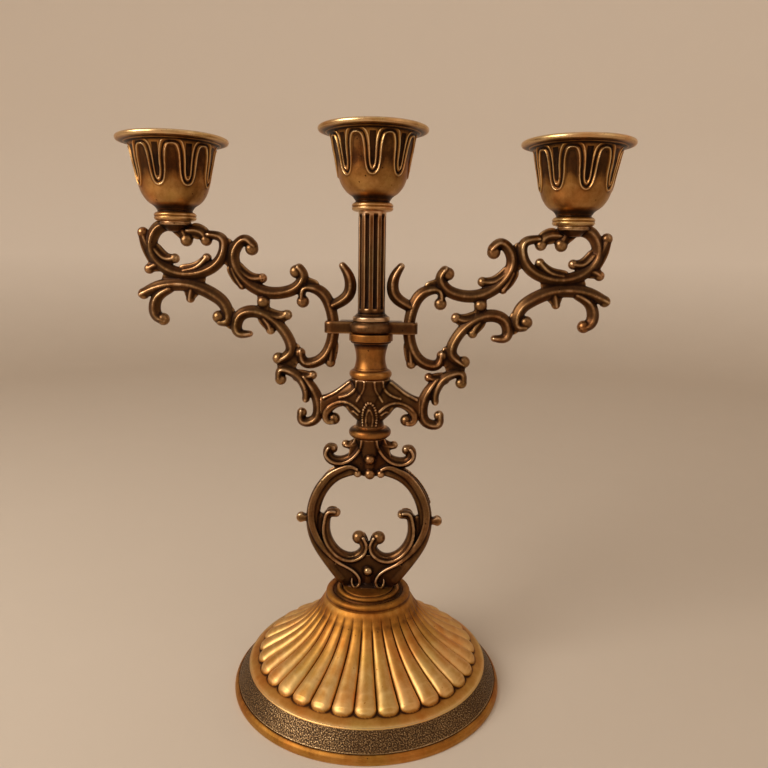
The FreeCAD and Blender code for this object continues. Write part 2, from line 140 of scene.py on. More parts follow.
def rounded(points, radius, steps=4):
    """Closed outline with each corner replaced by a small round of about the given radius."""
    points = np.array(points, float)
    softened = []
    for i, corner in enumerate(points):
        sides = points[i - 1] - corner, points[(i + 1) % len(points)] - corner
        ends = []
        for side in sides:
            length = max(np.linalg.norm(side), 1e-9)
            ends.append(corner + side / length * min(radius, 0.45 * length))
        for t in np.linspace(0, 1, steps):
            softened.append((1 - t) ** 2 * ends[0] + 2 * t * (1 - t) * corner + t * t * ends[1])
    return np.array(softened)


# --- Mesh parts: (vertices in drawn millimetres, faces) ---
def grid_faces(rows, columns, closed):
    """Quads of a grid that runs round in its columns and, where closed, in its rows."""
    last = rows if closed else rows - 1
    row, column = np.meshgrid(np.arange(last), np.arange(columns), indexing="ij")
    beyond = (column + 1) % columns
    above = (row + 1) % rows
    quads = [row * columns + column, row * columns + beyond, above * columns + beyond,
             above * columns + column]
    return np.stack(quads, -1).reshape(-1, 4).tolist()


def turned(radius, height, angles, centre=(0.0, 0.0)):
    """Closed shell about a vertical axis. Angle 0 faces the front, and grows towards +X."""
    x = centre[0] + radius * np.sin(angles)
    y = -radius * np.cos(angles)
    z = centre[1] + height + 0 * x
    vertices = np.stack([x, y, z], -1).reshape(-1, 3)
    return vertices, grid_faces(x.shape[0], x.shape[1], True)


def even_angles(columns, first=0.0):
    """Angles of a full turn in even steps, from first in degrees."""
    return np.radians(first) + np.linspace(0, 2 * math.pi, columns, endpoint=False)


def lathe(outline, columns=LATHE_COLUMNS, centre=(0.0, 0.0)):
    """Plain turned shell of a closed (r, z) outline."""
    outline = np.array(outline, float)
    return turned(outline[:, :1], outline[:, 1:], even_angles(columns)[None, :], centre)


def ridged(depth, ridge, ridge_width, across, half):
    """Half depth of a section with full rounded flanks and a low ridge along the middle."""
    flank = (1 - ridge) * np.clip(1 - (across / half) ** 2, 0, 1) ** 0.42
    return depth * (flank + ridge * np.exp(-(across / ridge_width) ** 2))


def scroll_section(across, half):
    """A wide scroll is the deeper, up to 2.4 mm of half width."""
    fullness = 0.6 + 0.4 * np.minimum(1, half / 2.4)
    return ridged(SCROLL_DEPTH * fullness, 0.28, 0.95, across, half)


def leaf_section(across, half):
    """Shallower than a scroll, with a narrower ridge."""
    return ridged(LEAF_DEPTH, 0.2, 0.7, across, half)


def flat_section(depth, squareness, edge):
    """Section of the given half depth, flat in the middle and falling to its edges."""
    def section(across, half):
        return depth * np.clip(1 - np.abs(across / half) ** squareness, 0, 1) ** edge
    return section


def plate_section(depth):
    """Flat plate, rounded only at its edge."""
    return flat_section(depth, 6, 0.35)


def flank_section(depth):
    """Full rounded band."""
    return flat_section(depth, 2.6, 0.45)


def band(points, section, mirror=1.0):
    """Closed band with round ends along (x, z, width) points of the x-z plane."""
    path = smooth_curve(points, BAND_SPACING)
    along = np.gradient(path[:, :2], axis=0)
    along /= np.linalg.norm(along, axis=1)[:, None]
    half = path[:, 2] / 2 + SOFTENING
    turn = np.radians(BAND_CAP)
    row = np.clip(np.arange(-len(turn), len(path) + len(turn)), 0, len(path) - 1)
    past_end = np.concatenate([-np.sin(turn[::-1]), 0 * half, np.sin(turn)])
    shrink = np.concatenate([np.cos(turn[::-1]), 0 * half + 1, np.cos(turn)])
    along, half = along[row], half[row]
    centre = path[row, :2] + along * half[:, None] * past_end[:, None]
    round_angle = even_angles(BAND_SIDES)[None, :]
    share = np.cos(round_angle)
    across = share * half[:, None]
    depth = section(np.abs(across), half[:, None]) * shrink[:, None] ** 0.8
    side = np.stack([-along[:, 1], along[:, 0]], 1)
    flat = centre[:, None, :] + side[:, None, :] * (across * shrink[:, None])[..., None]
    y = np.sign(np.round(np.sin(round_angle), 9)) * depth
    vertices = np.stack([mirror * flat[..., 0], y, flat[..., 1]], -1).reshape(-1, 3)
    return vertices, capped_faces(len(centre), BAND_SIDES)


def capped_faces(rows, columns):
    """Faces of a tube of the given rows, with a flat face over each end."""
    last = (rows - 1) * columns
    ends = [list(range(columns)), list(range(last, last + columns))]
    return grid_faces(rows, columns, False) + ends


def plate(outline, half_depth, mirror=1.0):
    """Flat plate of the x-z plane with a smooth closed outline of (x, z) points."""
    outline = np.array(outline, float) * (mirror, 1.0)
    count = len(outline)
    front = np.insert(outline, 1, -half_depth, axis=1)
    back = np.insert(outline, 1, half_depth, axis=1)
    return np.concatenate([front, back]), capped_faces(2, count)


def ball_mesh(subdivisions):
    """Ball of radius 1."""
    ball = bmesh.new()
    bmesh.ops.create_icosphere(ball, subdivisions=subdivisions, radius=1.0)
    vertices = np.array([v.co for v in ball.verts], float)
    faces = [[v.index for v in face.verts] for face in ball.faces]
    ball.free()
    return vertices, faces


FINE_BALL = ball_mesh(4)
BEAD_BALL = ball_mesh(2)


def knob(x, z, radius, mirror=1.0, y=0.0):
    """Round ball at (x, y, z)."""
    return FINE_BALL[0] * radius + np.array([mirror * x, y, z]), FINE_BALL[1]


def bead(x, y, z, radius):
    """Small round bead, flattened where it would stand too far from the face it sits on."""
    vertices = BEAD_BALL[0] * (radius, min(radius, BEAD_RISE), radius)
    return vertices + np.array([x, y, z]), BEAD_BALL[1]


def surface_ridge(points, mirror, depth_at):
    """Thin round wire lying on the front and the back face, whose half depth depth_at gives."""
    path = smooth_curve(points, 0.35)
    depth = depth_at(np.abs(path[:, 0]), path[:, 1])
    return [bead(mirror * x, side * y, z, width / 2)
            for side in (-1, 1) for (x, z, width), y in zip(path, depth)]


def merged(parts):
    """One (vertices, faces) part of many."""
    vertices, faces = [], []
    offset = 0
    for part_vertices, part_faces in parts:
        vertices.append(part_vertices)
        faces += [[offset + i for i in face] for face in part_faces]
        offset += len(part_vertices)
    return np.concatenate(vertices), faces


# --- Pieces ---
MATERIALS = {}  # by the name of the look, filled by make_materials
FINE_RELIEF = (8, 0.12)  # rounds of smoothing, and the rise in mm that counts as 1
BROAD_RELIEF = (60, 0.6)


def mesh_object(name, part):
    """Scene object of a (vertices, faces) part, with its normals outward."""
    mesh = bpy.data.meshes.new(name)
    mesh.from_pydata((part[0] * MM).tolist(), [], part[1])
    shape = bmesh.new()
    shape.from_mesh(mesh)
    bmesh.ops.recalc_face_normals(shape, faces=shape.faces)
    shape.to_mesh(mesh)
    shape.free()
    piece = bpy.data.objects.new(name, mesh)
    bpy.context.scene.collection.objects.link(piece)
    return piece


def remeshed(piece, voxel, rounds):
    """Fuses a piece's overlapping parts into one skin and softens it, as a casting comes out."""
    remesh = piece.modifiers.new("cast", "REMESH")
    remesh.mode = "VOXEL"
    remesh.voxel_size = voxel * MM
    soften = piece.modifiers.new("soften", "SMOOTH")
    soften.factor = 0.5
    soften.iterations = rounds
    depsgraph = bpy.context.evaluated_depsgraph_get()
    mesh = bpy.data.meshes.new_from_object(piece.evaluated_get(depsgraph))
    piece.modifiers.clear()
    piece.data = mesh
    return piece


def store_relief(piece, attribute, rounds, reach):
    """Stores how far each vertex stands above (+) or below (-) its smoothed surroundings."""
    mesh = piece.data
    count = len(mesh.vertices)
    flat = np.zeros(count * 3)
    mesh.vertices.foreach_get("co", flat)
    start = flat.reshape(-1, 3) / MM
    mesh.vertices.foreach_get("normal", flat)
    normals = flat.reshape(-1, 3)
    edges = np.zeros(len(mesh.edges) * 2, int)
    mesh.edges.foreach_get("vertices", edges)
    first, second = edges.reshape(-1, 2).T
    ends = np.concatenate([first, second])
    others = np.concatenate([second, first])
    neighbours = np.maximum(np.bincount(ends, minlength=count), 1)
    place = start.copy()
    for _ in range(rounds):
        for axis in range(3):
            total = np.bincount(ends, weights=place[others, axis], minlength=count)
            place[:, axis] = 0.5 * place[:, axis] + 0.5 * total / neighbours
    proud = np.einsum("ij,ij->i", start - place, normals) / reach
    store = mesh.attributes.new(attribute, "FLOAT", "POINT")
    store.data.foreach_set("value", np.clip(proud, -1, 1).astype(np.float32))


def store_patina_and_shade(piece, patina_and_shade):
    """Stores where dark patina is left, or shade is painted, from 0 to 1, vertex by vertex."""
    store = piece.data.attributes.new("patina_and_shade", "FLOAT", "POINT")
    store.data.foreach_set("value", np.asarray(patina_and_shade, np.float32).ravel())


def finish_piece(piece, body, look, nodes=(), sharp=None):
    """Smooth shading, relief attributes, material, slot, and the body that the piece rides on."""
    piece.data.polygons.foreach_set("use_smooth", [True] * len(piece.data.polygons))
    if sharp:
        piece.data.set_sharp_from_angle(angle=math.radians(sharp))
    store_relief(piece, "relief", *FINE_RELIEF)
    store_relief(piece, "hollow", *BROAD_RELIEF)
    if "patina_and_shade" not in piece.data.attributes:
        store_patina_and_shade(piece, np.zeros(len(piece.data.vertices)))
    piece.data.materials.clear()
    piece.data.materials.append(MATERIALS[look])
    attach(piece, body)
    if nodes:
        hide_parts(*nodes)


# --- Materials ---
REDDISH = (1, 0.80, 0.66)  # tints that the patina leans to in patches
OLIVE = (0.93, 1, 0.90)
STREAKS = 0.25  # how much vertical streaks and fine grain move the rub
GRAIN = 0.18
CAVITY = 0.35  # how much a broad hollow darkens
PATINA_AND_SHADE = 0.75  # how much patina left on purpose, and painted shade, darkens

# Colours from deep patina to rubbed metal
GOLD = ((0, (0.035, 0.011, 0.002)), (0.25, (0.14, 0.050, 0.009)), (0.5, (0.37, 0.155, 0.026)),
        (0.75, (0.53, 0.27, 0.068)), (1, (0.69, 0.43, 0.165)))
DARK = ((0, (0.012, 0.004, 0.0015)), (0.3, (0.040, 0.0155, 0.005)), (0.55, (0.11, 0.050, 0.018)),
        (0.8, (0.29, 0.155, 0.066)), (1, (0.58, 0.39, 0.23)))
COPPER = ((0, (0.03, 0.010, 0.003)), (0.35, (0.14, 0.050, 0.012)), (0.65, (0.40, 0.175, 0.042)),
          (1, (0.66, 0.38, 0.15)))
BRONZE = ((0, (0.015, 0.006, 0.002)), (0.3, (0.080, 0.031, 0.008)), (0.55, (0.27, 0.118, 0.030)),
          (0.8, (0.50, 0.265, 0.085)), (1, (0.70, 0.47, 0.24)))
STIPPLE = ((0, (0.025, 0.011, 0.003)), (0.4, (0.085, 0.044, 0.016)), (0.7, (0.25, 0.15, 0.065)),
           (1, (0.55, 0.39, 0.21)))
STEEL = ((0.3, (0.20, 0.18, 0.16)), (0.7, (0.48, 0.45, 0.41)))


class Nodes:
    """A material's node tree with short names for the nodes that this scene uses."""

    def __init__(self, name):
        self.material = bpy.data.materials.new(name)
        self.material.use_nodes = True
        self.tree = self.material.node_tree
        self.surface = self.tree.nodes["Principled BSDF"]
        self.place = self.tree.nodes.new("ShaderNodeTexCoord").outputs["Object"]

    def link(self, source, node, socket):
        self.tree.links.new(source, node.inputs[socket])

    def noise(self, size, detail=4.0, roughness=0.6, stretch=None):
        """Noise of about the given size in millimetres, centred on 0.5."""
        place = self.place
        if stretch:
            mapping = self.tree.nodes.new("ShaderNodeMapping")
            mapping.inputs["Scale"].default_value = stretch
            self.link(self.place, mapping, "Vector")
            place = mapping.outputs["Vector"]
        node = self.tree.nodes.new("ShaderNodeTexNoise")
        node.inputs["Scale"].default_value = 1 / (size * MM)
        node.inputs["Detail"].default_value = detail
        node.inputs["Roughness"].default_value = roughness
        self.link(place, node, "Vector")
        return node.outputs["Fac"]

    def cells(self, size):
        """Distance from the middle of the nearest cell, for cells of about the given size."""
        node = self.tree.nodes.new("ShaderNodeTexVoronoi")
        node.inputs["Scale"].default_value = 1 / (size * MM)
        self.link(self.place, node, "Vector")
        return node.outputs["Distance"]

    def attribute(self, name):
        node = self.tree.nodes.new("ShaderNodeAttribute")
        node.attribute_name = name
        return node.outputs["Fac"]

    def math(self, operation, a, b=None, clamp=False):
        node = self.tree.nodes.new("ShaderNodeMath")
        node.operation = operation
        node.use_clamp = clamp
        for i, value in enumerate((a, b)):
            if value is None:
                continue
            if isinstance(value, (int, float)):
                node.inputs[i].default_value = value
            else:
                self.tree.links.new(value, node.inputs[i])
        return node.outputs["Value"]

    def weighted(self, terms, offset):
        """offset plus the sum of value times weight, kept within 0..1."""
        total = self.math("MULTIPLY_ADD", *terms[0])
        total.node.inputs[2].default_value = offset
        for value, weight in terms[1:]:
            product = self.math("MULTIPLY", value, weight)
            total = self.math("ADD", total, product)
        return self.math("MAXIMUM", self.math("MINIMUM", total, 1.0), 0.0)

    def ramp(self, value, stops):
        """Colour ramp through (position, colour) stops."""
        node = self.tree.nodes.new("ShaderNodeValToRGB")
        while len(node.color_ramp.elements) < len(stops):
            node.color_ramp.elements.new(0.5)
        for element, (position, colour) in zip(node.color_ramp.elements, stops):
            element.position = position
            element.color = tuple(colour) + (1.0,)
        self.link(value, node, "Fac")
        return node.outputs["Color"]

    def tinted(self, colour, value):
        """Colour with patches that lean a little to red and to olive."""
        tint = self.ramp(value, ((0.3, REDDISH), (0.5, (1.0, 1.0, 1.0)), (0.7, OLIVE)))
        node = self.tree.nodes.new("ShaderNodeMix")
        node.data_type = "RGBA"
        node.blend_type = "MULTIPLY"
        node.inputs["Factor"].default_value = 1.0
        self.tree.links.new(colour, node.inputs[6])
        self.tree.links.new(tint, node.inputs[7])
        return node.outputs[2]

    def span(self, value, low, high):
        """Value from 0..1 spread over low..high."""
        node = self.tree.nodes.new("ShaderNodeMapRange")
        node.inputs["To Min"].default_value = low
        node.inputs["To Max"].default_value = high
        self.link(value, node, "Value")
        return node.outputs["Result"]

    def bump(self, heights):
        """Chain of bumps from (height, distance in millimetres, strength)."""
        normal = None
        for height, distance, strength in heights:
            node = self.tree.nodes.new("ShaderNodeBump")
            node.inputs["Distance"].default_value = distance * MM
            node.inputs["Strength"].default_value = strength
            self.link(height, node, "Height")
            if normal:
                self.link(normal, node, "Normal")
            normal = node.outputs["Normal"]
        self.link(normal, self.surface, "Normal")


def antique_brass(name, colours, level, wear=0.3, patches=0.4, rough=(0.45, 0.33)):
    """Brass whose patina stays in hollows and is rubbed bright on ridges; stored patina and painted
    shade darken it further.

    level is the mean rub, wear is how much fine relief moves it, and rough is the roughness
    of deep patina and of rubbed metal.
    """
    nodes = Nodes(name)
    cloud = nodes.noise(11.0, 3.0)
    streak = nodes.noise(2.4, 4.0, 0.65, (1.0, 1.0, 0.3))
    grain = nodes.noise(0.9, 4.0, 0.7)
    rub = nodes.weighted([(nodes.attribute("relief"), wear), (nodes.attribute("hollow"), CAVITY),
                          (nodes.attribute("patina_and_shade"), -PATINA_AND_SHADE), (cloud, patches),
                          (streak, STREAKS), (grain, GRAIN)],
                         level - (patches + STREAKS + GRAIN) / 2)
    spots = nodes.math("LESS_THAN", nodes.cells(3.2), 0.13)
    spotted = nodes.math("MULTIPLY", spots, nodes.math("GREATER_THAN", streak, 0.56))
    rub = nodes.math("SUBTRACT", rub, nodes.math("MULTIPLY", spotted, 0.3), True)
    colour = nodes.tinted(nodes.ramp(rub, colours), nodes.noise(16.0, 2.0))
    nodes.link(colour, nodes.surface, "Base Color")
    nodes.link(nodes.span(rub, 0.9, 1.0), nodes.surface, "Metallic")
    roughness = nodes.weighted([(rub, rough[1] - rough[0]), (grain, 0.14)], rough[0] - 0.07)
    nodes.link(roughness, nodes.surface, "Roughness")
    nodes.bump([(nodes.noise(3.0, 2.0), 0.08, 0.4), (streak, 0.05, 0.3), (grain, 0.03, 0.35)])
    return nodes.material


def make_materials():
    """Fills MATERIALS with the looks that the pieces ask for by name."""
    MATERIALS.update(
        gold=antique_brass("antiqued_gold_brass", GOLD, 0.565, 0.3, 0.65, (0.56, 0.50)),
        dark=antique_brass("antiqued_dark_brass", DARK, 0.42, 0.42, 0.3, (0.42, 0.29)),
        copper=antique_brass("warm_rubbed_brass", COPPER, 0.47, patches=0.7),
        bronze=antique_brass("antiqued_bronze_brass", BRONZE, 0.46),
        cup=antique_brass("antiqued_cup_brass", BRONZE, 0.60, 0.32, 0.7, (0.42, 0.29)),
        stipple=stippled_brass(),
        steel=fastener_steel(),
    )


def stippled_brass():
    """Dark ground with rubbed grains, for the punched band of the base."""
    nodes = Nodes("stippled_brass")
    relief = nodes.attribute("relief")
    grain = nodes.noise(0.7, 3.0)
    rub = nodes.weighted([(relief, 0.75), (grain, 0.7), (nodes.noise(14.0, 2.0), 0.3)], -0.12)
    nodes.link(nodes.ramp(rub, STIPPLE), nodes.surface, "Base Color")
    nodes.link(nodes.span(rub, 0.7, 1.0), nodes.surface, "Metallic")
    nodes.link(nodes.span(rub, 0.55, 0.33), nodes.surface, "Roughness")
    nodes.bump([(grain, 0.06, 0.5)])
    return nodes.material


def fastener_steel():
    """Plain steel with a cloudy grain, for the studs, nuts, screws and washer."""
    nodes = Nodes("fastener_steel")
    grain = nodes.noise(1.6, 4.0)
    nodes.link(nodes.ramp(grain, STEEL), nodes.surface, "Base Color")
    nodes.surface.inputs["Metallic"].default_value = 1.0
    nodes.link(nodes.span(grain, 0.28, 0.5), nodes.surface, "Roughness")
    nodes.bump([(grain, 0.03, 0.3)])
    return nodes.material


# --- Base ---
BAND_TOP = (54.73, 11.42)  # edges of the stippled band, (r, z)
BAND_FOOT = (59.86, 3.68)
BAND_GRAINS = (44, 1700)  # rows and columns of the punched grain
CROWN_R = 19.2  # the dome starts under the crown's rings
LOBE_TIP_R = 51.0
LOBE_ROUND_R = 47.8  # a lobe's round end starts here
FIRST_LOBE = math.radians(2.6)  # a lobe's middle, from the front towards +X
CREST = ((CROWN_R, 42.2), (20.6, 40.2), (23, 36.2), (26, 32.4), (32, 26.6), (38, 22.6),
         (44, 19.4), (47, 17.7), (49.3, 16.2), (50.5, 14.8), (LOBE_TIP_R, 13.3))
GROUND = ((CROWN_R, 41.6), (20.8, 38.6), (22.4, 36), (26, 30.6), (32, 24.2), (38, 19.9),
          (44, 16.2), (48, 14.3), (LOBE_TIP_R, 13), BAND_TOP, (55.2, 11.2))


def gadroon_angles():
    """Columns of the dome, closer together in the grooves between the lobes."""
    per_lobe = 24
    within = -np.cos(np.linspace(0, math.pi, per_lobe, endpoint=False)) / 2
    lobes = np.arange(GADROONS)[:, None] + within[None, :]
    return FIRST_LOBE + (lobes * 2 * math.pi / GADROONS).ravel()


def lobe_height(radius, angles):
    """Height of the gadroons above the ground of the dome, rows by radius."""
    pitch = 2 * math.pi / GADROONS
    offset = (angles - FIRST_LOBE + pitch / 2) % pitch - pitch / 2
    crest = np.interp(radius, *np.array(CREST).T)
    ground = np.interp(radius, *np.array(GROUND).T)
    rise = np.where(radius < LOBE_TIP_R, crest - ground, 0.0)
    half = radius * pitch / 2 * (0.90 + 0.07 * np.clip((radius - 24) / 10, 0, 1))
    end = np.clip((radius - LOBE_ROUND_R) / (LOBE_TIP_R - LOBE_ROUND_R), 0, 1)
    half = half * np.sqrt(np.clip(1 - end ** 2.2, 0, 1)) + 1e-6
    share = np.abs(radius * offset) / half
    shape = np.clip(1 - share ** 2.5, 0, 1) ** 0.52
    groove = np.clip((radius - 20.9) / 2.4, 0, 1) ** 0.8
    return rise * (1 - (1 - shape) * groove)


def make_dome():
    """Gadrooned dome, with patina in its grooves, as a shell over the foot."""
    radius = np.concatenate([np.linspace(CROWN_R, 46.0, 60), np.linspace(46.2, 51.6, 36),
                             np.linspace(52.0, GROUND[-1][0], 6)])[:, None]
    angles = gadroon_angles()[None, :]
    ground = smooth_curve(GROUND, 0.25)
    order = np.argsort(ground[:, 0])
    ground_z = np.interp(radius, ground[order, 0], ground[order, 1])
    top_z = ground_z + lobe_height(radius, angles)
    thickness = 1.2
    radius_all = np.concatenate([radius, radius[::-12]])
    height_all = np.concatenate([top_z, (ground_z - thickness)[::-12] + 0 * angles])
    dome = mesh_object("base_gadroons", turned(radius_all, height_all, angles))
    share = (top_z - ground_z) / np.maximum((top_z - ground_z).max(axis=1, keepdims=True), 0.3)
    groove = np.clip(1 - share / 0.4, 0, 1) * np.clip((LOBE_TIP_R - radius) / 2.0, 0, 1)
    groove *= np.clip((radius - 21) / 3, 0.15, 1)
    shade = np.maximum(0.6 * groove, 0.16 * np.clip((30 - radius) / 6, 0, 1))
    underside = np.zeros((len(radius_all) - len(radius), groove.shape[1]))
    store_patina_and_shade(dome, np.concatenate([shade, underside]))
    finish_piece(dome, "stand", "gold", ("base",))


def make_foot():
    """Turned body under the dome: the crown's two rings, the rim and the hollow underside."""
    columns = 320
    crown = [(ROD_CLEARANCE, 36.6), (ROD_CLEARANCE, SEAT_Z), (11.3, SEAT_Z), (11.8, 45.0)]
    crown += arc((13.2, 44.6), 1.25, 160, -20)
    crown += [(15.0, 43.3), (15.6, 43.2)]
    crown += arc((17.8, 43.0), 1.75, 160, -20)
    crown += [(19.7, 41.6), (20.0, 37.6), (24.0, 31.6), (30.0, 24.4), (38.0, 18.2), (48.0, 12.8)]
    rim = [(54.6, 11.0), (54.9, 10.6), (59.6, 3.6), (60.1, 3.75)]
    rim += [(60.7, 3.5), (61.4, 2.7), (BASE_RADIUS, 1.3), (BASE_RADIUS, 0.0)]
    hollow = [(57.5, 0.0), (57.5, 4.5), (51.5, 9.6), (45.0, 11.6), (38.0, 16.2), (30.0, 21.8),
              (24.0, 29.0), (20.0, 34.0), (16.0, 36.6)]
    outline = rounded(crown + rim + hollow, 0.35)
    foot = mesh_object("base_foot", lathe(outline, columns))
    # Painted shade: the seat disc under the stem's foot is darkened fully. The crown's rings and the
    # rim carry patina.
    crown_shade = np.where(outline[:, 0] < 12.0, 1.0, 0.34 * (outline[:, 0] < 19.9))
    rim_shade = 0.42 * (outline[:, 0] > 59.8)
    store_patina_and_shade(foot, np.repeat(crown_shade + rim_shade + 0.06, columns))
    finish_piece(foot, "stand", "gold", sharp=50)


def make_stippled_band():
    """Punched band: a slope of closely set grains in true relief."""
    share = np.linspace(0, 1, BAND_GRAINS[0])[:, None]
    angles = even_angles(BAND_GRAINS[1])[None, :]
    radius = BAND_TOP[0] + (BAND_FOOT[0] - BAND_TOP[0]) * share
    height = BAND_TOP[1] + (BAND_FOOT[1] - BAND_TOP[1]) * share
    grain = np.random.default_rng(7).normal(size=BAND_GRAINS)
    around = (np.roll(grain, 1, 1) + np.roll(grain, -1, 1)) / 2
    down = np.vstack([grain[:1], grain[:-1]]) / 2 + np.vstack([grain[1:], grain[-1:]]) / 2
    grain = 0.4 * grain + 0.3 * around + 0.3 * down
    grain = np.tanh(1.2 * grain / grain.std()) * 0.09 * np.sin(math.pi * share) ** 0.2
    lift = 0.10 + grain
    thickness = 0.6
    slope = math.hypot(BAND_TOP[0] - BAND_FOOT[0], BAND_TOP[1] - BAND_FOOT[1])
    out = (BAND_TOP[1] - BAND_FOOT[1]) / slope, (BAND_FOOT[0] - BAND_TOP[0]) / slope
    outer_r, outer_z = radius + out[0] * lift, height + out[1] * lift
    inner_r = (radius - out[0] * thickness)[::-20] + 0 * angles
    inner_z = (height - out[1] * thickness)[::-20] + 0 * angles
    part = turned(np.concatenate([outer_r, inner_r]), np.concatenate([outer_z, inner_z]), angles)
    punched = mesh_object("base_stippled_band", part)
    finish_piece(punched, "stand", "stipple")


# --- Cups ---
# The cup's wall as (r, z) from its foot, and half a period of each wire as (degrees, z)
WALL = ((7.4, 4.6), (8.3, 5.9), (10.4, 7.4), (12.3, 9.4), (13.5, 11.4), (14.35, 13.7), (14.9, 16),
        (15.5, 19.4), (16.3, 23.3), (17.05, 27.2), (17.7, 29.8), (18.6, 31.4))
OUTER_WIRE = ((0, 13.9), (5.5, 14.5), (9.3, 16.3), (11.2, 19), (12, 22.5), (13, 26),
              (15.3, 28.5), (18.5, 29.5), (22.5, 29.7))
INNER_WIRE = ((0, 16.1), (2.5, 16.6), (4.2, 18.4), (4.7, 22), (5.6, 26), (8, 29.3),
              (12.5, 30.9), (22.5, 31.3))
WIRE_HALF = 0.32
WIRE_RISE = 0.5
GROOVE_SINK = 0.22
PANEL_SINK = 0.3
WIRE_SPACING = 0.12
MEANDER_FOOT_Z = 12.8  # the wall's rows are closer together above this
CUP_COLUMNS = 560
CUP_FOOT = ((2.7, 0), (6.7, 0), (8.3, 0.45), (8.95, 1.35), (8.6, 1.85), (8.6, 2.1),
            (8.95, 2.6), (8.3, 3.5), (7.2, 4), (7.3, 4.5))
# Over the lip, down the dished rim and the candle socket, to the fastener's recess
CUP_LIP = ((20, 31.9), (21.9, 32.1), (22.9, 32.4), (23.2, 33.1), (23, 33.9), (22.2, 34.3),
           (21.2, CUP_HEIGHT), (20, 34), (16.4, 31.6), (14.2, 28), (12.2, 25),
           (11.25, 24.2), (11.25, 12.7), (4.8, 12.7), (4.8, 9.2), (2.7, 9.2))


def wire_distance(wire, fold, height, radius):
    """Distance in mm from points of the wall, folded to half a period, to a wire of the meander."""
    nearest = np.full(height.shape, np.inf)
    period = 360 / MEANDER_PERIODS
    for degrees, z in smooth_curve(wire, WIRE_SPACING):
        for place in (degrees, period - degrees, -degrees, period + degrees):
            arc_gap = radius * np.radians(fold - place)
            nearest = np.minimum(nearest, arc_gap ** 2 + (height - z) ** 2)
    return np.sqrt(nearest)


def wall_relief(height, radius):
    """Relief, patina and painted shade of the cup's wall: raised wires, a groove between and sunk
    panels.
    """
    per_half = CUP_COLUMNS // (2 * MEANDER_PERIODS)
    fold = np.linspace(0, 180 / MEANDER_PERIODS, per_half + 1)[None, :]
    rows_z, rows_r = height + 0 * fold, radius + 0 * fold
    outer = wire_distance(OUTER_WIRE, fold, rows_z, rows_r)
    inner = wire_distance(INNER_WIRE, fold, rows_z, rows_r)
    path = smooth_curve(OUTER_WIRE, WIRE_SPACING)
    rising = path[np.argsort(path[:, 1])]
    edge = np.interp(rows_z, rising[:, 1], rising[:, 0])
    inside_arch = (fold > edge) & (rows_z < path[:, 1].max())
    fade = np.clip((rows_z - 13.5 - 0.12 * fold) / 5.0, 0, 1)
    panel = np.where(inside_arch, np.clip(outer / 1.2, 0, 1) * fade, 0)
    between = np.exp(-((outer - 1.0) / 0.55) ** 2) * np.exp(-((inner - 1.0) / 0.55) ** 2)
    top_fade = np.clip((31.4 - rows_z) / 1.2, 0.25, 1)
    wires = np.exp(-(outer / WIRE_HALF) ** 2) + 0.9 * top_fade * np.exp(-(inner / WIRE_HALF) ** 2)
    relief = WIRE_RISE * wires - GROOVE_SINK * between - PANEL_SINK * panel
    # Painted shadow under the lip, and a painted dark reflection in the sunk panels that fades towards
    # the bowl. The groove between the wires holds patina, and inside each U is darker too.
    under_lip_shadow = np.clip((rows_z - 29.8) / 1.6, 0, 1)
    patina_and_shade = np.maximum.reduce([0.85 * between, 0.45 * panel, 0.3 * under_lip_shadow])
    inside_u = (fold < 4.5) & (rows_z > 17.5) & (rows_z < 30)
    patina_and_shade = np.maximum(patina_and_shade, 0.7 * inside_u)
    patina_and_shade *= np.clip(1 - 1.3 * wires, 0, 1)
    around = [np.concatenate([field, field[:, -2:0:-1]], axis=1) for field in (relief, patina_and_shade)]
    return [np.tile(field, (1, MEANDER_PERIODS)) for field in around]


def make_cup(name, x, foot_z, phase):
    """Lipped candle cup with the raised meander round its wall, turned by phase in degrees."""
    angles = even_angles(CUP_COLUMNS, phase)[None, :]
    wall = smooth_curve(WALL, 0.08)
    below = wall[:, 1] < MEANDER_FOOT_Z
    wall = np.concatenate([wall[below][::5], wall[~below][::2]])
    relief, patina_and_shade = wall_relief(wall[:, 1:], wall[:, :1])
    wall_r = wall[:, :1] + relief
    wall_z = wall[:, 1:] + 0 * relief
    foot = rounded(CUP_FOOT, 0.3)
    lip = rounded(CUP_LIP, 0.3, 3)
    plain = 0 * angles
    radius = np.concatenate([foot[:, :1] + plain, wall_r, lip[:, :1] + plain])
    height = np.concatenate([foot[:, 1:] + plain, wall_z, lip[:, 1:] + plain])
    cup = mesh_object(name + "_cast", turned(radius, height, angles, (x, foot_z)))
    # Painted shade at the neck under the bowl and down inside the candle socket; the lip is a little
    # darker all over.
    neck = 0.5 * np.exp(-((foot[:, 1:] - 4.6) / 0.9) ** 2) + plain
    inside = np.where(lip[:, 1:] < 30, 0.35, 0.08) + plain
    wall_patina_and_shade = patina_and_shade + 0.55 * np.exp(-((wall[:, 1:] - 5.2) / 1.1) ** 2)
    store_patina_and_shade(cup, np.concatenate([neck, wall_patina_and_shade, inside]))
    finish_piece(cup, name, "cup", (name,), sharp=60)


